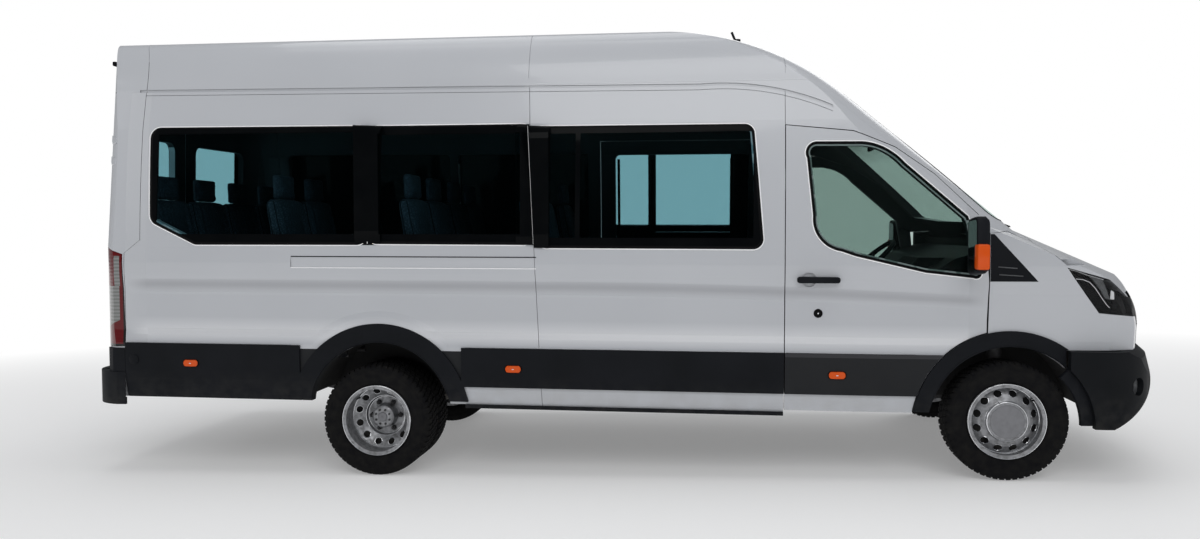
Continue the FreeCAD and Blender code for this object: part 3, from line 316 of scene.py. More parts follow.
# seal_black_and_shade: black rubber, seals and other black parts, and also black painted shade in the wheel holes and
# along the side recess
blackSealAndShade = makePlastic("seal_black_and_shade", (0.001, 0.001, 0.0015, 1), (0.002, 0.002, 0.0025, 1), 500.0, 0.8, 0.1)
slotOf = {row["node"]: row["material_slot"] for row in frame["record"]["subparts"]}
for nodeName, thing in frame["nodes"].items():
    for slotIndex in range(max(1, len(thing.material_slots))):
        if thing.material_slots:
            thing.material_slots[slotIndex].material = looks[slotOf[nodeName]]
        else:
            thing.data.materials.append(looks[slotOf[nodeName]])
print("materials on the frame")


class Shape:  # a mesh being built, in the standing van's metres
    def __init__(self):
        self.bm = bmesh.new()

    def ring(self, points):
        return [self.bm.verts.new(p) for p in points]

    def face(self, verts, mat=0):
        self.bm.faces.new(verts).material_index = mat

    def bridge(self, a, b, mat=0):
        for i in range(len(a)):
            j = (i + 1) % len(a)
            self.face((a[i], a[j], b[j], b[i]), mat)

    def loft(self, rings, mat, closed=False):  # a skin over rings of points, its ends filled unless it is closed
        for a, b in zip(rings, rings[1:] + (rings[:1] if closed else [])):
            self.bridge(a, b, mat)
        if not closed:
            self.face(rings[0][::-1], mat)
            self.face(rings[-1], mat)

    def slab(self, base, out, thick, bevel=0.002, mat=0, topMat=None):  # an outline pushed out, front edge bevelled
        middle = sum(base, Vector()) / len(base)
        inner = [p + (middle - p).normalized() * bevel + out * thick for p in base]
        rings = [self.ring(base), self.ring([p + out * (thick - bevel) for p in base]), self.ring(inner)]
        self.bridge(rings[0], rings[1], mat)
        self.bridge(rings[1], rings[2], mat)
        self.face(rings[2], mat if topMat is None else topMat)
        self.face(rings[0][::-1], mat)

    def tube(self, points, radius, steps=8, closed=False, mat=0, flat=1.0):
        rings, up = [], None
        for i, p in enumerate(points):
            before = points[i - 1] if i or closed else p
            after = points[(i + 1) % len(points)] if closed or i < len(points) - 1 else p
            way = (after - before).normalized()
            up = way.orthogonal() if up is None else up
            up = (up - way * up.dot(way)).normalized()
            other = way.cross(up)
            turns = [2 * math.pi * k / steps for k in range(steps)]
            rings.append(self.ring([p + (up * math.cos(t) + other * math.sin(t) * flat) * radius for t in turns]))
        self.loft(rings, mat, closed)

    def strip(self, tree, hand, lower, upper, lift, mat=0, steps=16):  # a band laid up the side from lower to upper
        rings, out = [], Vector((0, hand * lift, 0))
        for k in range(steps + 1):
            x0, x1, z = (a + (b - a) * k / steps for a, b in zip(lower, upper))
            shift = min(max(z, stripSafe[0]), stripSafe[1]) - z
            left, right = (onSide(tree, x, z + shift, hand)[0] - at(0, 0, shift) + at(0, 0, 0) for x in (x0, x1))
            rings.append(self.ring([left - out, left + out, right + out, right - out]))
        self.loft(rings, mat)

    def lathe(self, rows, centre, axis, steps=48, mat=0, closed=False):  # rows of (along, radius)
        side = axis.orthogonal().normalized()
        other = axis.cross(side)
        spokes = [side * math.cos(2 * math.pi * k / steps) + other * math.sin(2 * math.pi * k / steps)
                  for k in range(steps)]
        self.loft([self.ring([centre + axis * along + spoke * max(radius, 1e-5) for spoke in spokes])
                   for along, radius in rows], mat, closed)

    def block(self, centre, size, turn=None, bevel=0.004, mat=0):
        before = set(self.bm.faces)
        place = Matrix.Translation(centre) @ (turn or lean4) @ Matrix.Diagonal((*size, 1))
        made = bmesh.ops.create_cube(self.bm, size=1.0, matrix=place)
        edges = list(dict.fromkeys(e for v in made["verts"] for e in v.link_edges))
        bmesh.ops.bevel(self.bm, geom=edges, offset=bevel, segments=2, profile=0.6, affect="EDGES")
        for f in set(self.bm.faces) - before:
            f.material_index = mat

    def mesh(self, name, materials=()):
        mesh = bpy.data.meshes.new(name)
        self.bm.to_mesh(mesh)
        self.bm.free()
        for m in materials:
            mesh.materials.append(m)
        return mesh

    def done(self, name, materials, body, slotName, sharp=35, replaces=()):
        bmesh.ops.recalc_face_normals(self.bm, faces=self.bm.faces)
        return place(name, self.mesh(name, materials), body, slotName, sharp, replaces)


lean4 = Matrix.Rotation(lean, 4, "Y")
stripSafe = (1412, 2112)  # heights between which a ray at the side meets no gap at a pane's edge


def link(thing):
    bpy.context.scene.collection.objects.link(thing)
    return thing


def place(name, mesh, body, slotName, sharp=35, replaces=(), where=None):
    mesh.shade_smooth()
    mesh.set_sharp_from_angle(angle=math.radians(sharp))
    thing = bpy.data.objects.new(name, mesh)
    if where:
        thing.matrix_world = where
    link(thing)
    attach(thing, body)
    if replaces:
        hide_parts(*replaces)
    return thing


def treeOf(*names):  # the CAD surface that a piece is laid on
    verts, faces = [], []
    for name in names:
        mesh, start = frame["nodes"][name].data, len(verts)
        verts += [v.co.copy() for v in mesh.vertices]
        faces += [[i + start for i in f.vertices] for f in mesh.polygons]
    return BVHTree.FromPolygons(verts, faces)


def onSide(tree, x, z, hand, lift=0.0):  # the body side's surface at a place of the level drawing
    hit, normal = tree.ray_cast(at(x, hand * 1500, z), Vector((0, -hand, 0)))[:2]
    return (hit + normal * lift, normal) if hit else (at(x, hand * 1010, z), Vector((0, hand, 0)))


def onRear(tree, y, z, lift=0.0):  # the same for the back of the body
    hit, normal = tree.ray_cast(at(-4000, y, z), Vector((1, 0, 0)))[:2]
    return (hit + normal * lift, normal) if hit else (at(-3318, y, z), Vector((-1, 0, 0)))


def alongSide(tree, hand, start, end, count, lift=0.0):  # points on the side from (x, z) to (x, z)
    return [onSide(tree, start[0] + (end[0] - start[0]) * k / count, start[1] + (end[1] - start[1]) * k / count,
                   hand, lift)[0] for k in range(count + 1)]


def rounded(points, radius, steps=4):  # an outline with its corners rounded
    out = []
    for i, p in enumerate(points):
        a, b = Vector(points[i - 1]), Vector(points[(i + 1) % len(points)])
        c = Vector(p)
        cut = min(radius, (a - c).length * 0.45, (b - c).length * 0.45)
        start, end = c + (a - c).normalized() * cut, c + (b - c).normalized() * cut
        for k in range(steps + 1):
            t = k / steps
            out.append(tuple(start * (1 - t) ** 2 + c * 2 * t * (1 - t) + end * t * t))
    return out


def rimLoops(nodeName, outward, keep=0.6):  # edges of the outer face of a pane, as loops of points
    bm = bmesh.new()
    bm.from_mesh(frame["nodes"][nodeName].data)
    bmesh.ops.remove_doubles(bm, verts=bm.verts, dist=2e-5)
    bm.normal_update()
    bm.edges.index_update()
    faces = {f for f in bm.faces if f.normal.dot(outward) > keep}
    rim = {e for f in faces for e in f.edges if sum(g in faces for g in e.link_faces) == 1}
    loops = []
    while rim:
        edge = min(rim, key=lambda e: e.index)
        rim.discard(edge)
        loop = [edge.verts[0], edge.verts[1]]
        while True:
            onward = next((e for e in loop[-1].link_edges if e in rim), None)
            if not onward:
                break
            rim.discard(onward)
            loop.append(onward.other_vert(loop[-1]))
        if len(loop) > 8:
            loops.append([v.co.copy() for v in (loop[:-1] if loop[0] == loop[-1] else loop)])
    bm.free()
    return loops


cameraPlace = {"at": (0.638, -6.317, 1.490), "yaw": 6.86, "pitch": -2.45, "roll": -1.23, "focalPx": 898.7,
               "frameWide": 1200, "frameTall": 539}


def cameraAxes():
    yaw, pitch, roll = (math.radians(cameraPlace[k]) for k in ("yaw", "pitch", "roll"))
    ahead = Vector((-math.sin(yaw), math.cos(yaw), 0))
    right = Vector((math.cos(yaw), math.sin(yaw), 0))
    look = ahead * math.cos(pitch) + Vector((0, 0, 1)) * math.sin(pitch)
    up = Vector((0, 0, 1)) * math.cos(pitch) - ahead * math.sin(pitch)
    return right * math.cos(roll) + up * math.sin(roll), up * math.cos(roll) - right * math.sin(roll), look


def underPixel(tree, px, py, lift=0.0):  # where the photograph's pixel falls on a CAD surface
    right, up, look = cameraAxes()
    c = cameraPlace
    way = look + right * ((px - c["frameWide"] / 2) / c["focalPx"]) - up * ((py - c["frameTall"] / 2) / c["focalPx"])
    hit, normal = tree.ray_cast(Vector(c["at"]), way.normalized())[:2]
    return hit + normal * lift if hit else None


sideTree = {word: treeOf("quarter_" + word, "mouldings_" + word, "front_door_" + word, "wing_" + word,
                         *(("mid_panel_right",) if word == "right" else ("sliding_door",))) for word, hand in sides}

# tyres: a row of tyreRows is half-width and radius in mm, and how far the cross grooves cut it
tyre = {"pitches": 58, "cut": 7.0, "frontX": 2.329, "rearX": -1.421, "frontY": 0.870, "rearY": 0.902,
        "twin": 0.214}
tyreRows = [(79.6, 203.5, 0), (79.6, 221.0, 0), (86.0, 229.0, 0), (94.0, 240.0, 0), (97.2, 262.0, 0),
            (97.4, 283.0, 0), (95.9, 299.0, 0), (96.5, 301.0, 0), (96.4, 304.0, 0), (94.4, 307.0, 0),
            (91.0, 319.0, 0), (86.0, 330.0, 0.5), (79.5, 338.5, 0.8), (72.0, 343.8, 1), (52.0, 344.9, 1),
            (44.5, 345.0, 1), (42.0, 337.5, 0), (35.0, 337.5, 0), (33.0, 345.0, 1), (6.0, 345.0, 1),
            (4.0, 337.5, 0), (0.0, 337.5, 0)]


def addTyre(shape, x, y):
    rows = tyreRows + [(-a, r, cut) for a, r, cut in tyreRows[-2::-1]]
    columns = [(k + part, deep) for k in range(tyre["pitches"])
               for part, deep in ((0.0, 0), (0.70, 0), (0.745, 1), (0.955, 1))]
    rings = []
    for a, r, cut in rows:
        shear = 0.55 * a / 72.0
        ring = []
        for column, deep in columns:
            t = 2 * math.pi * (column + shear) / tyre["pitches"]
            radius = (r - tyre["cut"] * cut * deep) / 1000
            ring.append(Vector((x + radius * math.cos(t), y + a / 1000, wheelHeight + radius * math.sin(t))))
        rings.append(shape.ring(ring))
    shape.loft(rings, 0, True)


# what is fixed to each wheel, with bright rings of painted highlight and black discs of painted shade in the holes;
# sizes in mm, and slope is how the dish falls away from the holes
frontDish = {"holeRadius": 162, "wide": 24.0, "tall": 20.0, "faceAt": 51.9, "slope": -0.609}
rearDish = {"holeRadius": 166, "wide": 23.0, "tall": 19.5, "faceAt": 55.5, "slope": 0.579}


def holeRings(shape, centre, out, dish, mat, dark):
    for i in range(12):
        a = 2 * math.pi * (i + 0.5) / 12
        points = []
        for k in range(20):
            q = 2 * math.pi * k / 20
            radial, around = dish["tall"] * math.sin(q), dish["wide"] * math.cos(q)
            r = dish["holeRadius"] + radial
            along = dish["faceAt"] + radial * dish["slope"] + 1.4
            points.append(centre + out * along * 0.001 + Vector((
                r * math.cos(a) - around * math.sin(a), 0, r * math.sin(a) + around * math.cos(a))) * 0.001)
        # each hole: a bright ring as a painted highlight on its rim, and a black disc as painted shade over the dark
        # inside
        shape.tube(points, 0.0019, 6, True, mat)
        shape.face(shape.ring(points), dark)


def highlightHoop(shape, centre, out, along, radius, thick):  # a bright ring round the axle, a painted highlight on the wheel
    shape.tube([centre + (out * along + Vector((math.cos(t), 0, math.sin(t))) * radius) * 0.001
                for t in [2 * math.pi * k / 72 for k in range(72)]], thick / 1000, 6, True, 0)


def bolts(shape, centre, out, count, turn, along, radius, rows):
    for i in range(count):
        t = 2 * math.pi * (i + turn) / count
        foot = centre + (out * along + Vector((math.cos(t), 0, math.sin(t))) * radius) * 0.001
        shape.lathe(rows, foot, out, 6, 2)


def wheelTrim(word, hand):
    out = Vector((0, hand, 0))
    centre = Vector((tyre["frontX"], hand * tyre["frontY"], wheelHeight))
    trim = Shape()
    holeRings(trim, centre, out, frontDish, 0, 2)
    for along, radius, thick in ((88.5, 217, 3.2), (33.5, 195.5, 3), (91.5, 112.5, 3.2), (74.5, 117, 2)):
        highlightHoop(trim, centre, out, along, radius, thick)
    trim.lathe([(0.0935, 0.0), (0.0945, 0.0), (0.1005, 0.02), (0.0995, 0.07), (0.0975, 0.094), (0.0938, 0.0975)],
               centre, out, 56, 1)
    trim.tube([centre + Vector((0.148, 0, 0.118)) + out * 0.045, centre + Vector((0.150, 0, 0.120)) + out * 0.088],
              0.0042, 8, False, 2)  # tyre valve
    trim.done("wheel_trim_front_" + word, [brightTrimAndHighlight, capGrey, blackSealAndShade], "wheel_front_" + word, "rim_silver")

    middle = Vector((tyre["rearX"], hand * (tyre["rearY"] - tyre["twin"] / 2), wheelHeight))
    trim = Shape()
    holeRings(trim, middle, out, rearDish, 0, 3)
    outer = tyre["twin"] / 2 * 1000
    for along, radius, thick in ((outer + 88.5, 217, 3.2), (75.5, 195, 2.6), (31.5, 129, 2.2), (10.5, 119, 2.0)):
        highlightHoop(trim, middle, out, along, radius, thick)
    bolts(trim, middle, out, 6, 0, 9, 94,  # wheel nuts on the inner disc, with their studs
          [(0, 0.0), (0, 0.017), (0.003, 0.017), (0.004, 0.0145), (0.021, 0.0145), (0.023, 0.012), (0.023, 0.007),
           (0.034, 0.0065), (0.034, 0.0)])
    bolts(trim, middle, out, 8, 0.5, 84, 47,  # half-shaft flange bolts
          [(0, 0.0), (0, 0.0075), (0.005, 0.0072), (0.006, 0.0)])
    trim.lathe([(0.0835, 0.0), (0.0845, 0.0), (0.091, 0.012), (0.090, 0.026), (0.0838, 0.031)], middle, out, 32, 1)
    trim.tube([middle + Vector((-0.150, 0, 0.118)) + out * 0.058, middle + Vector((-0.152, 0, 0.120)) + out * 0.120],
              0.0042, 8, False, 3)
    trim.done("wheel_trim_rear_" + word, [brightTrimAndHighlight, capGrey, looks["steel_dark"], blackSealAndShade], "wheel_rear_" + word,
              "rim_silver")


for word, hand in sides:
    tread = Shape()
    addTyre(tread, tyre["frontX"], hand * tyre["frontY"])
    tread.done("tyre_front_" + word, [looks["tyre_rubber"]], "wheel_front_" + word, "tyre_rubber", 32,
               ["front_tyre_" + word])
    tread = Shape()
    for y in (tyre["rearY"], tyre["rearY"] - tyre["twin"]):
        addTyre(tread, tyre["rearX"], hand * y)
    tread.done("tyres_rear_" + word, [looks["tyre_rubber"]], "wheel_rear_" + word, "tyre_rubber", 32,
               ["rear_tyres_" + word])
    wheelTrim(word, hand)
print("tyres and wheel trim")

# pressed lips round the windows, in a near-white painted highlight brighter than the body paint, and the rubber
# between lip and glass
panes = [("side_glass_right", -1, "body"), ("side_glass_left", 1, "body"),
         ("front_door_glass_right", -1, "door_front_right"), ("front_door_glass_left", 1, "door_front_left")]
lipSize = {"out": 0.0036, "proud": 0.0016, "radius": 0.0036, "sealWide": 0.016, "sealProud": 0.0012}
# lip_highlight: near-white, brighter than the body paint, painted as the highlight on rolled lips and light lines
lipHighlight = makePlastic("lip_highlight", (0.99, 0.99, 1.0, 1), (0.96, 0.96, 0.97, 1), 200.0, 0.3, 0.05)


def addLips(shape, loops, outward, mat, sealMat):  # a bead in the near-white of painted highlight round each pane and a black seal on its edge
    size = lipSize
    for loop in loops:
        middle = sum(loop, Vector()) / len(loop)
        count = len(loop)
        away = [(loop[(i + 1) % count] - loop[i - 1]).cross(outward).normalized() for i in range(count)]
        if sum(a.dot(p - middle) for p, a in zip(loop, away)) < 0:
            away = [-a for a in away]
        shape.tube([p + a * size["out"] + outward * size["proud"] for p, a in zip(loop, away)], size["radius"], 6,
                   True, mat)
        section = [(0.001, -0.002), (0.001, size["sealProud"]), (-size["sealWide"], size["sealProud"]),
                   (-size["sealWide"], -0.002)]
        shape.loft([shape.ring([p + a * across + outward * lift for across, lift in section])
                    for p, a in zip(loop, away)], sealMat, True)


def withoutNotch(loop):  # the front door pane has a notch under its mirror, which the seal passes by
    toLevel = toGround.inverted()
    level = [toLevel @ p for p in loop]
    return [p for p, q in zip(loop, level) if not (1.95 < q.x < 2.112 and 1.5 < q.z < 1.572)]


for nodeName, hand, body in panes:
    lips = Shape()
    loops = rimLoops(nodeName, Vector((0, hand, 0.05)).normalized())
    addLips(lips, [withoutNotch(loop) if "door" in nodeName else loop for loop in loops], Vector((0, hand, 0)), 0, 1)
    lips.done(nodeName + "_surround", [lipHighlight, blackSealAndShade], body, "white_paint", 60)
for word, hand in sides:
    lips = Shape()
    addLips(lips, rimLoops("rear_door_glass_" + word, Vector((-1, 0, 0))), Vector((-1, 0, 0)), 0, 1)
    lips.done("rear_window_surround_" + word, [lipHighlight, blackSealAndShade], "door_rear_" + word, "white_paint", 60)
lips = Shape()
for loop in rimLoops("windscreen", Vector((0.64, 0, 0.77))):
    lips.tube(loop, 0.004, 6, True, 0)
lips.done("windscreen_seal", [blackSealAndShade], "body", "plastic_dark", 60)
print("window surrounds")

# pieces on the body sides: markers, handles, locks, hinges, trim lines
marker = {"z": 656, "outline": [(-47, -9), (-37, -21), (37, -21), (47, -9), (47, 9), (37, 21), (-37, 21), (-47, 9)],
          "places": ((-2619, "body"), (-547, "body"), (1363, "door_front_"))}
handleLook = {"x": (1132, 1374), "y": 1011, "z": 1208, "lock": (1254, 1013)}
# light ribs in the black corner by the screen pillar: height, from x, to x
cornerRibs = [(1243, 2262, 2395), (1287, 2256, 2362)]
# bright edges of the panels above the black band, from x to x, and the two lines of the shallow recess: dark is a
# black line of painted shadow at its top, light a near-white line of painted highlight at its foot
bandEdge = {"z": 782.5, "body": [(-3060, -1965), (-848, -245)], "right": [(-245, 1058)], "door": [(1070, 1805)],
            "radius": 0.0024}
recess = {"rear": -1954, "right": -408, "left": -248, "dark": 1331.5, "light": 1262.5}
# rolled edges of the wheel-arch mouldings, and how the front one runs on down into a black filler that stands partly
# for the moulding and partly as painted shade for the dark wheel well: centre, radius, from and to degrees
archEdges = [(-1392, 352, 455, 17, 163), (2335, 380, 455, 14, 162)]
archEnd = [(2335, 380, 482, 1, 46), (2335, 380, 388, 46, 1)]
# glass-black strips over the posts: x, x and z at the foot, then at the top
allPosts = [((-1540, -1376, 1402), (-1540, -1376, 2136))]
rightPosts = [((-530, -424.6, 1406), (-530, -457.8, 2134)), ((-421.4, -330, 1388), (-453.7, -330, 2119))]
postProud = 0.0066
hingeLook = {"outline": [(-30, -22), (30, -20), (30, 20), (-30, 22)], "z": (2068, 1934, 690), "x": -3168, "y": 838}
# mirrors, outlines in y and z: head, main glass, lower glass
mirrorLook = {"head": [(1022, 1240), (1014, 1558), (1208, 1576), (1228, 1264)], "x": 2092, "glassX": 2077,
              "glass": [([(1040, 1345), (1034, 1545), (1192, 1556), (1206, 1345)], 26),
                        ([(1042, 1264), (1042, 1334), (1206, 1334), (1210, 1270)], 20)],
              "armX": 2106, "arms": (1283, 1345), "lamp": (2104, 1200, 1350), "lampSize": (0.068, 0.072, 0.142)}


def arc(x, z, radius, start, end, count):  # points from one angle to another, in degrees
    turns = [math.radians(start + (end - start) * k / count) for k in range(count + 1)]
    return [(x + radius * math.cos(t), z + radius * math.sin(t)) for t in turns]


def laid(name, material, body, slotName, radius, lines):  # a piece of round lines laid along a panel
    shape = Shape()
    for points in lines:
        shape.tube(points, radius, 6, False, 0)
    shape.done(name, [material], body, slotName, 60)


def onPanel(tree, hand, points, x, z, grow=1.0, lift=0.0):
    return [onSide(tree, x + a * grow, z + b * grow, hand, lift)[0] for a, b in points]


for word, hand in sides:
    tree, out = sideTree[word], Vector((0, hand, 0))
    for i, (x, body) in enumerate(marker["places"]):
        lamp = Shape()
        outline = rounded(marker["outline"], 7, 3)
        lamp.slab(onPanel(tree, hand, outline, x, marker["z"], 1.13, -0.002), out, 0.006, 0.002, 0)
        lamp.slab(onPanel(tree, hand, outline, x, marker["z"], 1.0, 0.001), out, 0.0095, 0.004, 1)
        lamp.block(onSide(tree, x, marker["z"], hand, 0.0105)[0], (0.012, 0.002, 0.005), None, 0.0006, 2)
        lamp.done("side_marker_%s_%d" % (word, i + 1), [blackSealAndShade, amber, brightTrimAndHighlight],
                  body + word if body != "body" else body, "lens_red")
    door = "door_front_" + word
    grip = Shape()
    z, (low, high) = handleLook["z"], handleLook["x"]
    outline = rounded([(low, z - 19), (low, z + 18), (high, z + 17), (high, z - 18)], 17)
    grip.slab([at(a, hand * handleLook["y"], b) for a, b in outline], out, 0.040, 0.009, 0)
    where, normal = onSide(tree, *handleLook["lock"], hand)
    grip.lathe([(-0.002, 0.0), (-0.002, 0.026), (0.003, 0.0255), (0.006, 0.021), (0.0062, 0.0)], where, normal, 32, 1)
    grip.lathe([(0.0055, 0.0), (0.0068, 0.004), (0.007, 0.0)], where, normal, 12, 2)
    grip.done("door_handle_" + word, [looks["plastic_dark"], blackSealAndShade, brightTrimAndHighlight], door, "plastic_dark", 50)
    laid("corner_ribs_" + word, lampGrey, "body", "plastic_grey", 0.0035,
         [alongSide(tree, hand, (x0, z), (x1, z - 8), 6, 0.001) for z, x0, x1 in cornerRibs])
    z, edges = bandEdge["z"], bandEdge["body"] + (bandEdge["right"] if hand < 0 else [])
    laid("band_edges_" + word, looks["white_paint"], "body", "white_paint", bandEdge["radius"],
         [alongSide(tree, hand, (x0, z), (x1, z), 24, 0.0004) for x0, x1 in edges])
    laid("door_band_edge_" + word, looks["white_paint"], door, "white_paint", bandEdge["radius"],
         [alongSide(tree, hand, (x0, z), (x1, z), 16, 0.0004) for x0, x1 in bandEdge["door"]])
    laid("arch_edges_" + word, looks["plastic_dark"], "body", "plastic_dark", 0.0042,
         [[onSide(tree, x, z, hand, -0.001)[0] for x, z in arc(*row, 40)] for row in archEdges])
    hinges, leaves = Shape(), Shape()
    corner, backDoor = treeOf("rear_frame"), treeOf("rear_door_" + word)
    outline, x, y = rounded(hingeLook["outline"], 9), hingeLook["x"], hand * hingeLook["y"]
    for z in hingeLook["z"]:  # rear door hinges: a plate on the door, and one on the corner by the upper two
        if z > 1400:
            where, normal = onSide(corner, x, z, hand)
            hinges.slab(onPanel(corner, hand, outline, x, z, 1.0, -0.003), normal, 0.010, 0.004, 0)
        where, normal = onRear(backDoor, y, z)
        leaves.slab([onRear(backDoor, y + a, z + b, -0.003)[0] for a, b in outline], normal, 0.010, 0.004, 0)
    hinges.done("rear_hinges_" + word, [looks["white_paint"]], "body", "white_paint", 40)
    leaves.done("rear_hinge_leaves_" + word, [looks["white_paint"]], "door_rear_" + word, "white_paint", 40)
    cap = Shape()  # round cap in the bumper's corner piece
    where, normal = onSide(treeOf("mouldings_" + word, "rear_bumper"), -3004, 673, hand)
    cap.lathe([(-0.004, 0.0), (-0.004, 0.033), (0.003, 0.032), (0.007, 0.025), (0.009, 0.012), (0.0095, 0.0)],
              where, normal, 32, 0)
    cap.done("bumper_cap_" + word, [looks["plastic_dark"]], "body", "plastic_dark", 50)
    mirror, m = Shape(), mirrorLook  # slim head on two arms, glass on its back, the repeater in its outer edge
    head = [at(m["x"], hand * a, b) for a, b in rounded(m["head"], 46, 6)]
    ahead = turned(1, 0, 0)
    mirror.slab(head, ahead, 0.050, 0.018, 0)
    mirror.slab(head, -ahead, 0.016, 0.007, 0)
    for z in m["arms"]:
        mirror.tube([at(m["armX"], hand * a, b) for a, b in ((945, z), (990, z + 2), (1040, z))], 0.016, 12, False, 0)
    for outline, radius in m["glass"]:
        mirror.slab([at(m["glassX"], hand * a, b) for a, b in rounded(outline, radius)], -ahead, 0.003, 0.002, 2, 3)
    x, y, z = m["lamp"]
    mirror.block(at(x, hand * y, z), m["lampSize"], None, 0.015, 1)
    mirror.done("mirror_unit_" + word, [looks["plastic_dark"], amber, blackSealAndShade, mirrorFace], door, "plastic_dark",
                40, ["mirror_" + word])
    clip = Shape()  # small lamp at the top of each rear corner
    clip.block(onRear(treeOf("roof", "rear_frame"), hand * 792, 2560, 0.004)[0], (0.024, 0.06, 0.03), None, 0.008, 0)
    clip.done("rear_corner_lamp_" + word, [blackSealAndShade], "body", "plastic_dark", 40)
    strips = Shape()  # the windows read as one dark band, with a light line of painted highlight up each post, and under them the recess drawn as a painted shadow line and a painted highlight line
    for lower, upper in allPosts + (rightPosts if hand < 0 else []):
        strips.strip(tree, hand, lower, upper, postProud, 0)
    strips.tube(alongSide(tree, hand, (-1460, 1412), (-1460, 2130), 12, postProud), 0.0022, 6, False, 1)
    if hand < 0:
        strips.tube(alongSide(tree, hand, (-423.6, 1412), (-455.4, 2118), 12, postProud), 0.0016, 6, False, 1)
    # the recess: a black tube of painted shadow along its top and a near-white tube of painted highlight along its
    # foot
    for z, radius, mat in ((recess["dark"], 0.003, 2), (recess["light"], 0.0028, 1)):
        strips.tube(alongSide(tree, hand, (recess["rear"], z), (recess[word], z), 30, 0.0003), radius, 6, False, mat)
    strips.done("window_posts_" + word, [looks["glass_dark"], lipHighlight, blackSealAndShade], "body", "glass_dark", 50)
gap = Shape()  # rubber in the gap round the sliding door, which keeps the light out
doorTree, gapX, gapZ = treeOf("sliding_door"), -257, 2207
gap.tube(alongSide(doorTree, 1, (gapX, 560), (gapX, 2208), 24, -0.016)
         + alongSide(doorTree, 1, (gapX, gapZ), (957, gapZ), 20, -0.016)[1:], 0.0075, 8, False, 0)
gap.done("sliding_door_seal", [blackSealAndShade], "body", "plastic_dark", 50)
for word, hand in sides:
    # black filler under the front arch: partly the moulding, partly painted shade for the dark wheel well behind it
    arch = Shape()
    arch.slab([at(x, hand * 950, z) for row in archEnd for x, z in arc(*row, 10)], Vector((0, hand, 0)), 0.034,
              0.003, 0)
    arch.done("front_arch_end_" + word, [looks["plastic_dark"]], "body", "plastic_dark", 50)
print("side pieces")

# head lamps: the CAD lens shell, its outer face clear and the rest dark, over reflectors at the photograph's pixels
lampPixels = {"blade": [(1077, 279), (1084, 279.6), (1091, 282.5), (1097, 289), (1103, 298), (1108, 305),
                        (1111, 308)],
              "upper": [(1069, 269), (1078, 271.4), (1088, 275), (1097, 277.6), (1105, 280)],
              "wedge": [(1090, 275.5), (1098, 277), (1104, 281), (1108, 290), (1111, 300), (1107, 299), (1102, 290),
                        (1095, 281)],
              "spot": [(1114, 291), (1116.4, 292.4), (1116.6, 300), (1112.2, 299.6)],
              "box": [(1114.4, 302), (1119, 302.6), (1119.2, 310), (1114.6, 309.6)]}


def makeHeadlamps():
    tree = treeOf("headlamps")
    mesh = frame["nodes"]["headlamps"].data.copy()
    mesh.name = "headlamp_units"
    mesh.materials.clear()
    mesh.materials.append(looks["lens_clear"])
    mesh.materials.append(blackSealAndShade)
    for f in mesh.polygons:
        hand = 1 if f.center.y > 0 else -1
        f.material_index = 0 if f.normal.dot(Vector((0.72, hand * 0.62, 0.32))) > 0.5 else 1
    place("headlamp_units", mesh, "body", "lens_clear", 40, ["headlamps"])
    inside = Shape()
    depth = -0.016
    for name, size in (("blade", 0.0035), ("upper", 0.0022)):
        line = [underPixel(tree, px, py, depth) for px, py in lampPixels[name]]
        if None not in line:
            for flip in (1, -1):
                inside.tube([Vector((p.x, p.y * flip, p.z)) for p in line], size, 8, False, 0)
    for name, mat in (("wedge", 1), ("spot", 2), ("box", 3)):
        shape = [underPixel(tree, px, py, depth - 0.008) for px, py in lampPixels[name]]
        if None not in shape:
            for flip in (1, -1):
                inside.slab([Vector((p.x, p.y * flip, p.z)) for p in shape],
                            Vector((0.62, -0.62 * flip, 0.35)).normalized(), 0.006, 0.002, mat)
    inside.done("headlamp_reflectors", [brightTrimAndHighlight, lampGrey, brightWhite, blackSealAndShade], "body", "lens_clear", 40)


brightWhite = makeLens("lamp_white", (0.85, 0.86, 0.88, 1), 1.0, 0.1)
makeHeadlamps()
print("head lamps")

# seats: one cushion, backrest and headrest are swollen with air pressure, then shared by every seat
# outlines are (x, z) in mm from the seat's foot; seatRows has x and each seat's y, frontSeats x, y and width
seat = {"cushion": [(-12, 338), (432, 358), (462, 402), (449, 447), (30, 433), (-12, 404)],
        "back": [(-24, 422), (60, 438), (-44, 1000), (-80, 1020), (-112, 992)],
        "rest": [(-64, 1020), (-74, 1172), (-122, 1168), (-112, 1008)], "half": 210, "restHalf": 122, "voxel": 0.0135}
seatRows = [(-420, (-700, -250, 690)), (-1180, (-700, -250, 250, 700)), (-2050, (-700, -250, 700)),
            (-2880, (-690, -230, 230, 690))]
frontSeats = [(1085, -500, 500), (1085, 230, 440), (1085, 680, 440)]
floorZ = 0.680


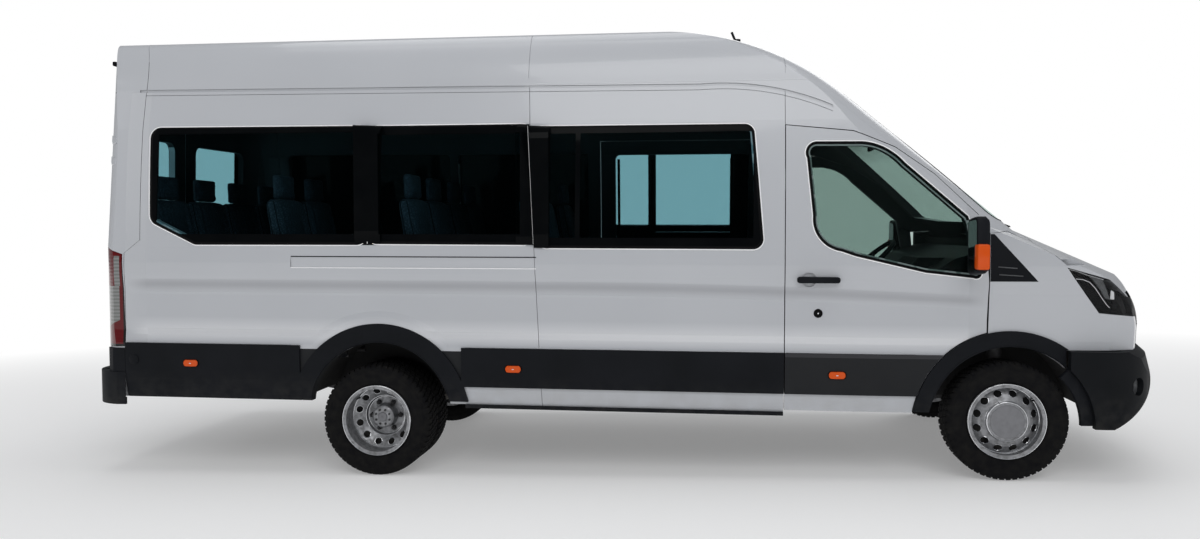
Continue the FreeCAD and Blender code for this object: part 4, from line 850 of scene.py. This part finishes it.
def swollen(name, rows, half, pressure, grooveAt):
    form = Shape()
    left, right = (form.ring([Vector((a, y, b)) * 0.001 for a, b in rows]) for y in (-half, half))
    form.bridge(left, right)
    form.face(left[::-1])
    form.face(right)
    bmesh.ops.recalc_face_normals(form.bm, faces=form.bm.faces)
    bmesh.ops.bevel(form.bm, geom=form.bm.edges[:], offset=0.02, segments=3, profile=0.6, affect="EDGES")
    thing = link(bpy.data.objects.new(name, form.mesh(name)))
    thing.modifiers.new("remesh", "REMESH").voxel_size = seat["voxel"]
    graph = bpy.context.evaluated_depsgraph_get()
    thing.data = bpy.data.meshes.new_from_object(thing.evaluated_get(graph))
    thing.modifiers.clear()
    start = [v.co.copy() for v in thing.data.vertices]
    pins = thing.vertex_groups.new(name="pins")
    held = [v.index for v in thing.data.vertices if v.normal.z < -0.6 or (
        grooveAt and abs(abs(v.co.y) - grooveAt) < 0.008 and v.normal.z + v.normal.x > 0.5)]
    pins.add(held, 1.0, "REPLACE")
    cloth = thing.modifiers.new("air", "CLOTH")
    s = cloth.settings
    s.quality, s.mass, s.use_pressure, s.uniform_pressure_force = 5, 0.3, True, pressure
    s.tension_stiffness = s.compression_stiffness = 12
    s.bending_stiffness, s.vertex_group_mass = 0.6, "pins"
    s.effector_weights.gravity = 0.0
    cloth.point_cache.frame_start, cloth.point_cache.frame_end = 1, 20
    for number in range(1, 21):
        bpy.context.scene.frame_set(number)
    graph = bpy.context.evaluated_depsgraph_get()
    blown = bpy.data.meshes.new_from_object(thing.evaluated_get(graph))
    for v, first in zip(thing.data.vertices, start):
        move = blown.vertices[v.index].co - first
        v.co = first + move * min(1.0, 0.012 / max(move.length, 1e-6))
    bpy.context.scene.frame_set(1)
    mesh = thing.data
    bpy.data.objects.remove(thing)
    mesh.materials.clear()
    mesh.materials.append(looks["seat_cloth"])
    for v in mesh.vertices:  # the sewn lines lie in shallow valleys
        near = abs(abs(v.co.y) - grooveAt) if grooveAt else 1.0
        if near < 0.02 and v.normal.z + v.normal.x > 0.4:
            v.co -= v.normal * 0.006 * (1 - near / 0.02)
    return mesh


def makePiping(name, soft, rows, half):
    tree = BVHTree.FromPolygons([v.co.copy() for v in soft.vertices], [list(f.vertices) for f in soft.polygons])
    piping = Shape()
    for y in (-half + 9, half - 9):
        points = []
        for a, b in rounded(rows, 30, 5):
            near = tree.find_nearest(Vector((a, y * 1.08, b)) * 0.001)
            points.append(near[0] + near[1] * 0.0008)
        piping.tube(points, 0.0028, 6, True, 0)
    bmesh.ops.recalc_face_normals(piping.bm, faces=piping.bm.faces)
    return piping.mesh(name, [blackSealAndShade])


def makeSeatFrame():
    f = Shape()
    for y in (-150, 150):
        f.slab([Vector((a, y - 10, b)) * 0.001 for a, b in rounded([(48, 4), (392, 4), (372, 336), (60, 336)], 24)],
               Vector((0, 1, 0)), 0.02, 0.004, 0)
        f.tube([Vector((a, y * 0.92, 16)) * 0.001 for a in (45, 220, 396)], 0.013, 10, False, 1)
        f.tube([Vector((a, y * 0.4, b)) * 0.001 for a, b in ((-92, 980), (-100, 1040))], 0.006, 10, False, 2)
    for a, b in ((70, 300), (350, 300), (350, 60), (70, 60)):
        f.tube([Vector((a, y, b)) * 0.001 for y in (-150, 0, 150)], 0.0125, 10, False, 1)
    bmesh.ops.recalc_face_normals(f.bm, faces=f.bm.faces)
    return f.mesh("seat_frame", [looks["plastic_dark"], looks["steel_dark"], brightTrimAndHighlight])


def makeSeats():
    cushion = swollen("seat_cushion", seat["cushion"], seat["half"], 4.0, 0.125)
    back = swollen("seat_back", seat["back"], seat["half"], 4.0, 0.125)
    rest = swollen("seat_headrest", seat["rest"], seat["restHalf"], 3.0, 0)
    parts = [("cushion", cushion, "seat_cloth", True), ("back", back, "seat_cloth", True),
             ("headrest", rest, "seat_cloth", True), ("frame", makeSeatFrame(), "steel_dark", False),
             ("cushion_piping", makePiping("cushion_piping", cushion, seat["cushion"], seat["half"]),
              "plastic_dark", False),
             ("back_piping", makePiping("back_piping", back, seat["back"], seat["half"]), "plastic_dark", False)]
    print("soft forms", [len(m.vertices) for word, m, slotName, pad in parts])
    spots = [("cabin", x, y, 436) for x, places in seatRows for y in places] + [("front", *row) for row in frontSeats]
    for number, (group, x, y, width) in enumerate(spots):
        wide = 1.0 if group == "cabin" else width / 440
        where = toGround @ Matrix.Translation((x / 1000, y / 1000, floorZ)) @ Matrix.Diagonal((1, wide, 1, 1))
        for word, mesh, slotName, pad in parts:
            stretch = where @ Matrix.Diagonal((1, 1 / wide, 1, 1)) if word == "headrest" else where
            thing = place("%s_seat_%d_%s" % (group, number + 1, word), mesh, "body", slotName, 60, (), stretch)
            if word == "cushion":
                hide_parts("cabin_seats" if group == "cabin" else "front_seats")


makeSeats()
print("seats")

# cab: instruments, vents, screen, column stalks, wheel pad, mirror, visors
driverY = -480
# boxes of the dash and roof: place in mm, size and bevel in metres, material
cabBlocks = [((1893, 0, 1190), (0.02, 0.19, 0.12), 0.008, 1), ((1898, 0, 1085), (0.03, 0.20, 0.07), 0.008, 0),
             ((1720, 0, 2070), (0.02, 0.24, 0.07), 0.01, 0)]
cabBlocks += [((1905, y, 1205), (0.02, 0.13, 0.08), 0.008, 0) for y in (-800, -180, 180, 800)]
cabBlocks += [((1894, y, z), (0.006, 0.11, 0.004), 0.001, 1) for y in (-800, -180, 180, 800)
              for z in (1185, 1200, 1215, 1230)]
# rods: radius in metres, sides, then the points in mm
cabRods = [(0.008, 10, [(1780, 20, 960), (1765, 20, 1050), (1750, 20, 1120)]),
           (0.008, 8, [(1730, 0, 2080), (1800, 0, 2150)])]
cabRods += [(0.006, 8, [(1690, driverY + hand * 30, 1240), (1650, driverY + hand * 130, 1262),
                        (1640, driverY + hand * 165, 1268)]) for hand in (-1, 1)]


def makeCab():
    cab = Shape()
    cab.slab([at(1806, y, z) for y, z in rounded([(-660, 1120), (-660, 1240), (-310, 1240), (-310, 1120)], 30)],
             turned(-0.98, 0, 0.2), 0.008, 0.004, 1)
    for spot, size, bevel, mat in cabBlocks:
        cab.block(at(*spot), size, None, bevel, mat)
    for radius, count, points in cabRods:
        cab.tube([at(*point) for point in points], radius, count, False, 0)
    for y in (-60, 0, 60):
        cab.lathe([(0, 0.0), (0, 0.02), (0.016, 0.017), (0.017, 0.0)], at(1886, y, 1086), Vector((-1, 0, 0)), 24, 1)
    cab.lathe([(0, 0.0), (0, 0.016), (0.03, 0.024), (0.05, 0.018), (0.055, 0.0)], at(1752, 20, 1110),
              Vector((-0.1, 0, 1)).normalized(), 24, 0)
    flap = toGround.to_3x3().to_4x4() @ Matrix.Rotation(0.4, 4, "Y")
    for y in (-450, 450):
        cab.block(at(1470, y, 2165), (0.16, 0.34, 0.018), flap, 0.008, 2)
    cab.done("cab_fittings", [looks["plastic_grey"], blackSealAndShade, looks["seat_cloth"]], "body", "plastic_grey", 40)
    pad = Shape()
    tilt = math.radians(48)
    way, up = turned(math.cos(tilt), 0, -math.sin(tilt)), turned(math.sin(tilt), 0, math.cos(tilt))
    centre = at(1625, driverY, 1290) + way * 0.004
    pad.slab([centre + Vector((0, a, 0)) * 0.001 + up * b * 0.001
              for a, b in rounded([(-70, -52), (-84, 34), (84, 34), (70, -52)], 24)], -way, 0.022, 0.009, 0)
    pad.done("steering_wheel_pad", [looks["plastic_dark"]], "steering_wheel", "plastic_dark", 40)


makeCab()


def makeDoorCards():
    for word, hand in sides:
        card = Shape()
        tree = treeOf("front_door_" + word)

        def innerFace(x, z):
            hit = tree.ray_cast(at(x, 0, z), Vector((0, hand, 0)))[0]
            return hit if hit else at(x, hand * 950, z)
        rows = rounded([(1130, 620), (1130, 1290), (1500, 1270), (1850, 1190), (2060, 1120), (1960, 800),
                        (1800, 640)], 60)
        card.slab([innerFace(x, z) for x, z in rows], Vector((0, -hand, 0)), 0.014, 0.006, 0)
        card.block(innerFace(1500, 1080) + Vector((0, -hand * 0.03, 0)), (0.52, 0.06, 0.07), None, 0.018, 1)
        card.lathe([(0, 0.0), (0, 0.09), (0.008, 0.088), (0.01, 0.0)],
                   innerFace(1760, 790) + Vector((0, -hand * 0.012, 0)), Vector((0, -hand, 0)), 32, 1)
        card.done("door_card_" + word, [looks["plastic_grey"], looks["plastic_dark"]], "door_front_" + word,
                  "plastic_grey", 40)


makeDoorCards()
print("cab")

# nose, windscreen and tail: wipers (pivot, then the blade's x and y in mm), grille mesh, lamp bezels, rear handle
wiperRows = [((2464, -200), [(2440, -60), (2434, -240), (2420, -420), (2396, -590), (2364, -730)]),
             ((2462, 420), [(2412, 640), (2428, 500), (2438, 350), (2444, 200), (2446, 50)])]


def makeNose():
    screen = treeOf("windscreen", "windscreen_frame")

    def onScreen(x, y, lift):
        hit, normal = screen.ray_cast(at(x, y, 2600), Vector((0, 0, -1)))[:2]
        return hit + normal * lift if hit else at(x, y, 1560)
    wipers = Shape()
    for pivot, blade in wiperRows:
        line = [onScreen(x, y, 0.008) for x, y in blade]
        wipers.tube(line, 0.0038, 6, False, 0, 1.6)
        wipers.tube([onScreen(x, y, 0.003) for x, y in blade], 0.002, 5, False, 0)
        middle = line[2]
        foot = onScreen(*pivot, 0.004)
        wipers.tube([foot, foot.lerp(middle, 0.5) + Vector((0.004, 0, 0.006)), middle + Vector((0.001, 0, 0.002))],
                    0.005, 8, False, 0)
        wipers.lathe([(-0.016, 0.0), (-0.016, 0.017), (0.003, 0.015), (0.005, 0.0)], foot,
                     Vector((0.3, 0, 1)).normalized(), 20, 0)
    wipers.done("wipers", [blackSealAndShade], "body", "plastic_dark", 50)
    mesh = Shape()
    for x, heights, wide, uprights, middle, tall in ((3135, range(872, 1110, 18), 1.05, 26, 985, 0.25),
                                                     (3296, range(482, 590, 14), 0.83, 20, 530, 0.11)):
        for z in heights:  # bars behind the grille openings
            mesh.block(at(x, 0, z), (0.004, wide, 0.004), None, 0.001, 0)
        for i in range(-uprights, uprights + 1):
            mesh.block(at(x - 4, i * 20, middle), (0.004, 0.003, tall), None, 0.0008, 0)
    mesh.done("grille_mesh", [blackSealAndShade], "body", "plastic_dark", 40)
    turn = math.radians(38)
    fogs = Shape()
    for hand in (-1, 1):
        way = turned(math.cos(turn), hand * math.sin(turn), 0)
        centre = at(3035, hand * 944, 612)
        fogs.lathe([(-0.028, 0.030), (-0.024, 0.049), (-0.014, 0.0495), (-0.018, 0.042)], centre, way, 36, 0, True)
        fogs.lathe([(-0.029, 0.0), (-0.027, 0.0), (-0.02, 0.02), (-0.022, 0.036), (-0.028, 0.042)],
                   centre, way, 36, 1)
    fogs.done("fog_lamp_bezels", [lampGrey, looks["lens_clear"]], "body", "lens_clear", 40)


makeNose()
print("nose")
rear = Shape()
rear.block(at(-3330, -50, 1170), (0.03, 0.05, 0.22), None, 0.012, 0)
rear.block(at(-3342, -50, 1180), (0.022, 0.03, 0.14), None, 0.008, 1)
rear.done("rear_door_handle", [blackSealAndShade, looks["plastic_dark"]], "door_rear_right", "plastic_dark", 40)
slider = Shape()
sliderLine = ((905, 1040, 1207), (925, 1052, 1208), (985, 1053, 1208), (1025, 1048, 1208), (1040, 1038, 1208))
slider.tube([at(*place) for place in sliderLine], 0.0125, 12, False, 0, 0.62)
slider.done("sliding_door_handle", [looks["white_paint"]], "body", "white_paint", 50)
frames = Shape()  # sliding-window frames behind the dark glass
glassTree = {hand: treeOf("side_glass_" + word) for word, hand in sides}
for x, z0, z1, hand in ((-160, 1450, 2062, -1), (168, 1530, 2066, 1), (-100, 1530, 2066, 1), (800, 1530, 2066, 1)):
    frames.tube(alongSide(glassTree[hand], hand, (x, z0), (x, z1), 5, -0.022), 0.011, 8, False, 0)
for x0, x1, z in ((-100, 136, 1532), (199, 793, 1532), (199, 793, 1478)):
    frames.tube(alongSide(glassTree[1], 1, (x0, z), (x1, z), 5, -0.022), 0.006, 8, False, 1)
frames.done("window_frames", [blackSealAndShade, brightTrimAndHighlight], "body", "plastic_dark", 50)
print("tail and window frames")

# the stage: floor colour, half its width in metres, and how much light it gives back
stageLook = {"floor": (0.80, 0.80, 0.80, 1), "size": 60.0, "lift": 0.24}


def makeStage():
    p = Paint("studio_floor")
    x, y, z = p.split(p.place())
    far = p.spread(x * x * 0.5 + y * y, 9.0, 60.0)
    near = p.node("BsdfPrincipled", {}, {"Base Color": p.blend(p.noise(0.8, 2.0), stageLook["floor"], grey(0.78)),
                                         "Roughness": 0.9, "Emission Color": (1, 1, 1, 1),
                                         "Emission Strength": stageLook["lift"]})
    away = p.node("Emission", {}, {"Color": (1, 1, 1, 1), "Strength": 1.0})
    mixed = p.node("MixShader", {}, {0: far, 1: near, 2: away})
    p.close(mixed)
    mesh = bpy.data.meshes.new("floor_sheet")
    half = stageLook["size"]
    corners = ((-1, -1), (1, -1), (1, 1), (-1, 1))
    mesh.from_pydata([(x * half, y * half, -0.0006) for x, y in corners], [], [(0, 1, 2, 3)])
    mesh.materials.append(p.material)
    link(bpy.data.objects.new("floor_sheet", mesh))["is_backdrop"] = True


makeStage()


def makeCamera():
    data = bpy.data.cameras.new("view")
    data.sensor_width = 36.0
    data.lens = 36.0 * cameraPlace["focalPx"] / cameraPlace["frameWide"]
    eye = bpy.data.objects.new("view", data)
    right, up, look = cameraAxes()
    eye.matrix_world = Matrix.Translation(cameraPlace["at"]) @ Matrix((right, up, -look)).transposed().to_4x4()
    link(eye)
    bpy.context.scene.camera = eye


# area lamps: name, place, width, height and power
lampRows = [("key", (2.0, -9.0, 7.5), 9.0, 5.0, 300.0), ("top", (0.0, 0.0, 9.0), 10.0, 6.0, 240.0),
            ("fill", (-9.0, -4.0, 4.0), 6.0, 4.0, 70.0), ("back", (4.0, 9.0, 6.0), 8.0, 4.0, 130.0)]


def makeLights():
    for name, spot, wide, tall, power in lampRows:
        data = bpy.data.lights.new(name, "AREA")
        data.shape, data.size, data.size_y, data.energy = "RECTANGLE", wide, tall, power
        lamp = bpy.data.objects.new(name, data)
        lamp.location = spot
        lamp.rotation_euler = (Vector((0, 0, 1.0)) - Vector(spot)).to_track_quat("-Z", "Y").to_euler()
        link(lamp)
    world = bpy.data.worlds.new("studio")
    world.use_nodes = True
    tree = world.node_tree
    tree.nodes.clear()
    out, soft, plain, path, mix, seen = (tree.nodes.new("ShaderNode" + kind) for kind in (
        "OutputWorld", "Background", "Background", "LightPath", "MixShader", "Math"))
    soft.inputs[0].default_value, soft.inputs[1].default_value = (0.95, 0.97, 1, 1), 0.32
    plain.inputs[0].default_value, plain.inputs[1].default_value = (1, 1, 1, 1), 1.0
    seen.operation = "MAXIMUM"
    for start, end in ((path.outputs["Is Camera Ray"], seen.inputs[0]),
                       (path.outputs["Is Transmission Ray"], seen.inputs[1]), (seen.outputs[0], mix.inputs[0]),
                       (soft.outputs[0], mix.inputs[1]), (plain.outputs[0], mix.inputs[2]),
                       (mix.outputs[0], out.inputs[0])):
        tree.links.new(start, end)
    bpy.context.scene.world = world


makeCamera()
makeLights()
bpy.context.scene.view_settings.view_transform = "Standard"
print("stage, camera and lights")

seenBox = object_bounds()
print("grown", [round((b - a) * 1000, 1) for a, b in zip(sum(map(list, cadBox), []), sum(map(list, seenBox), []))])
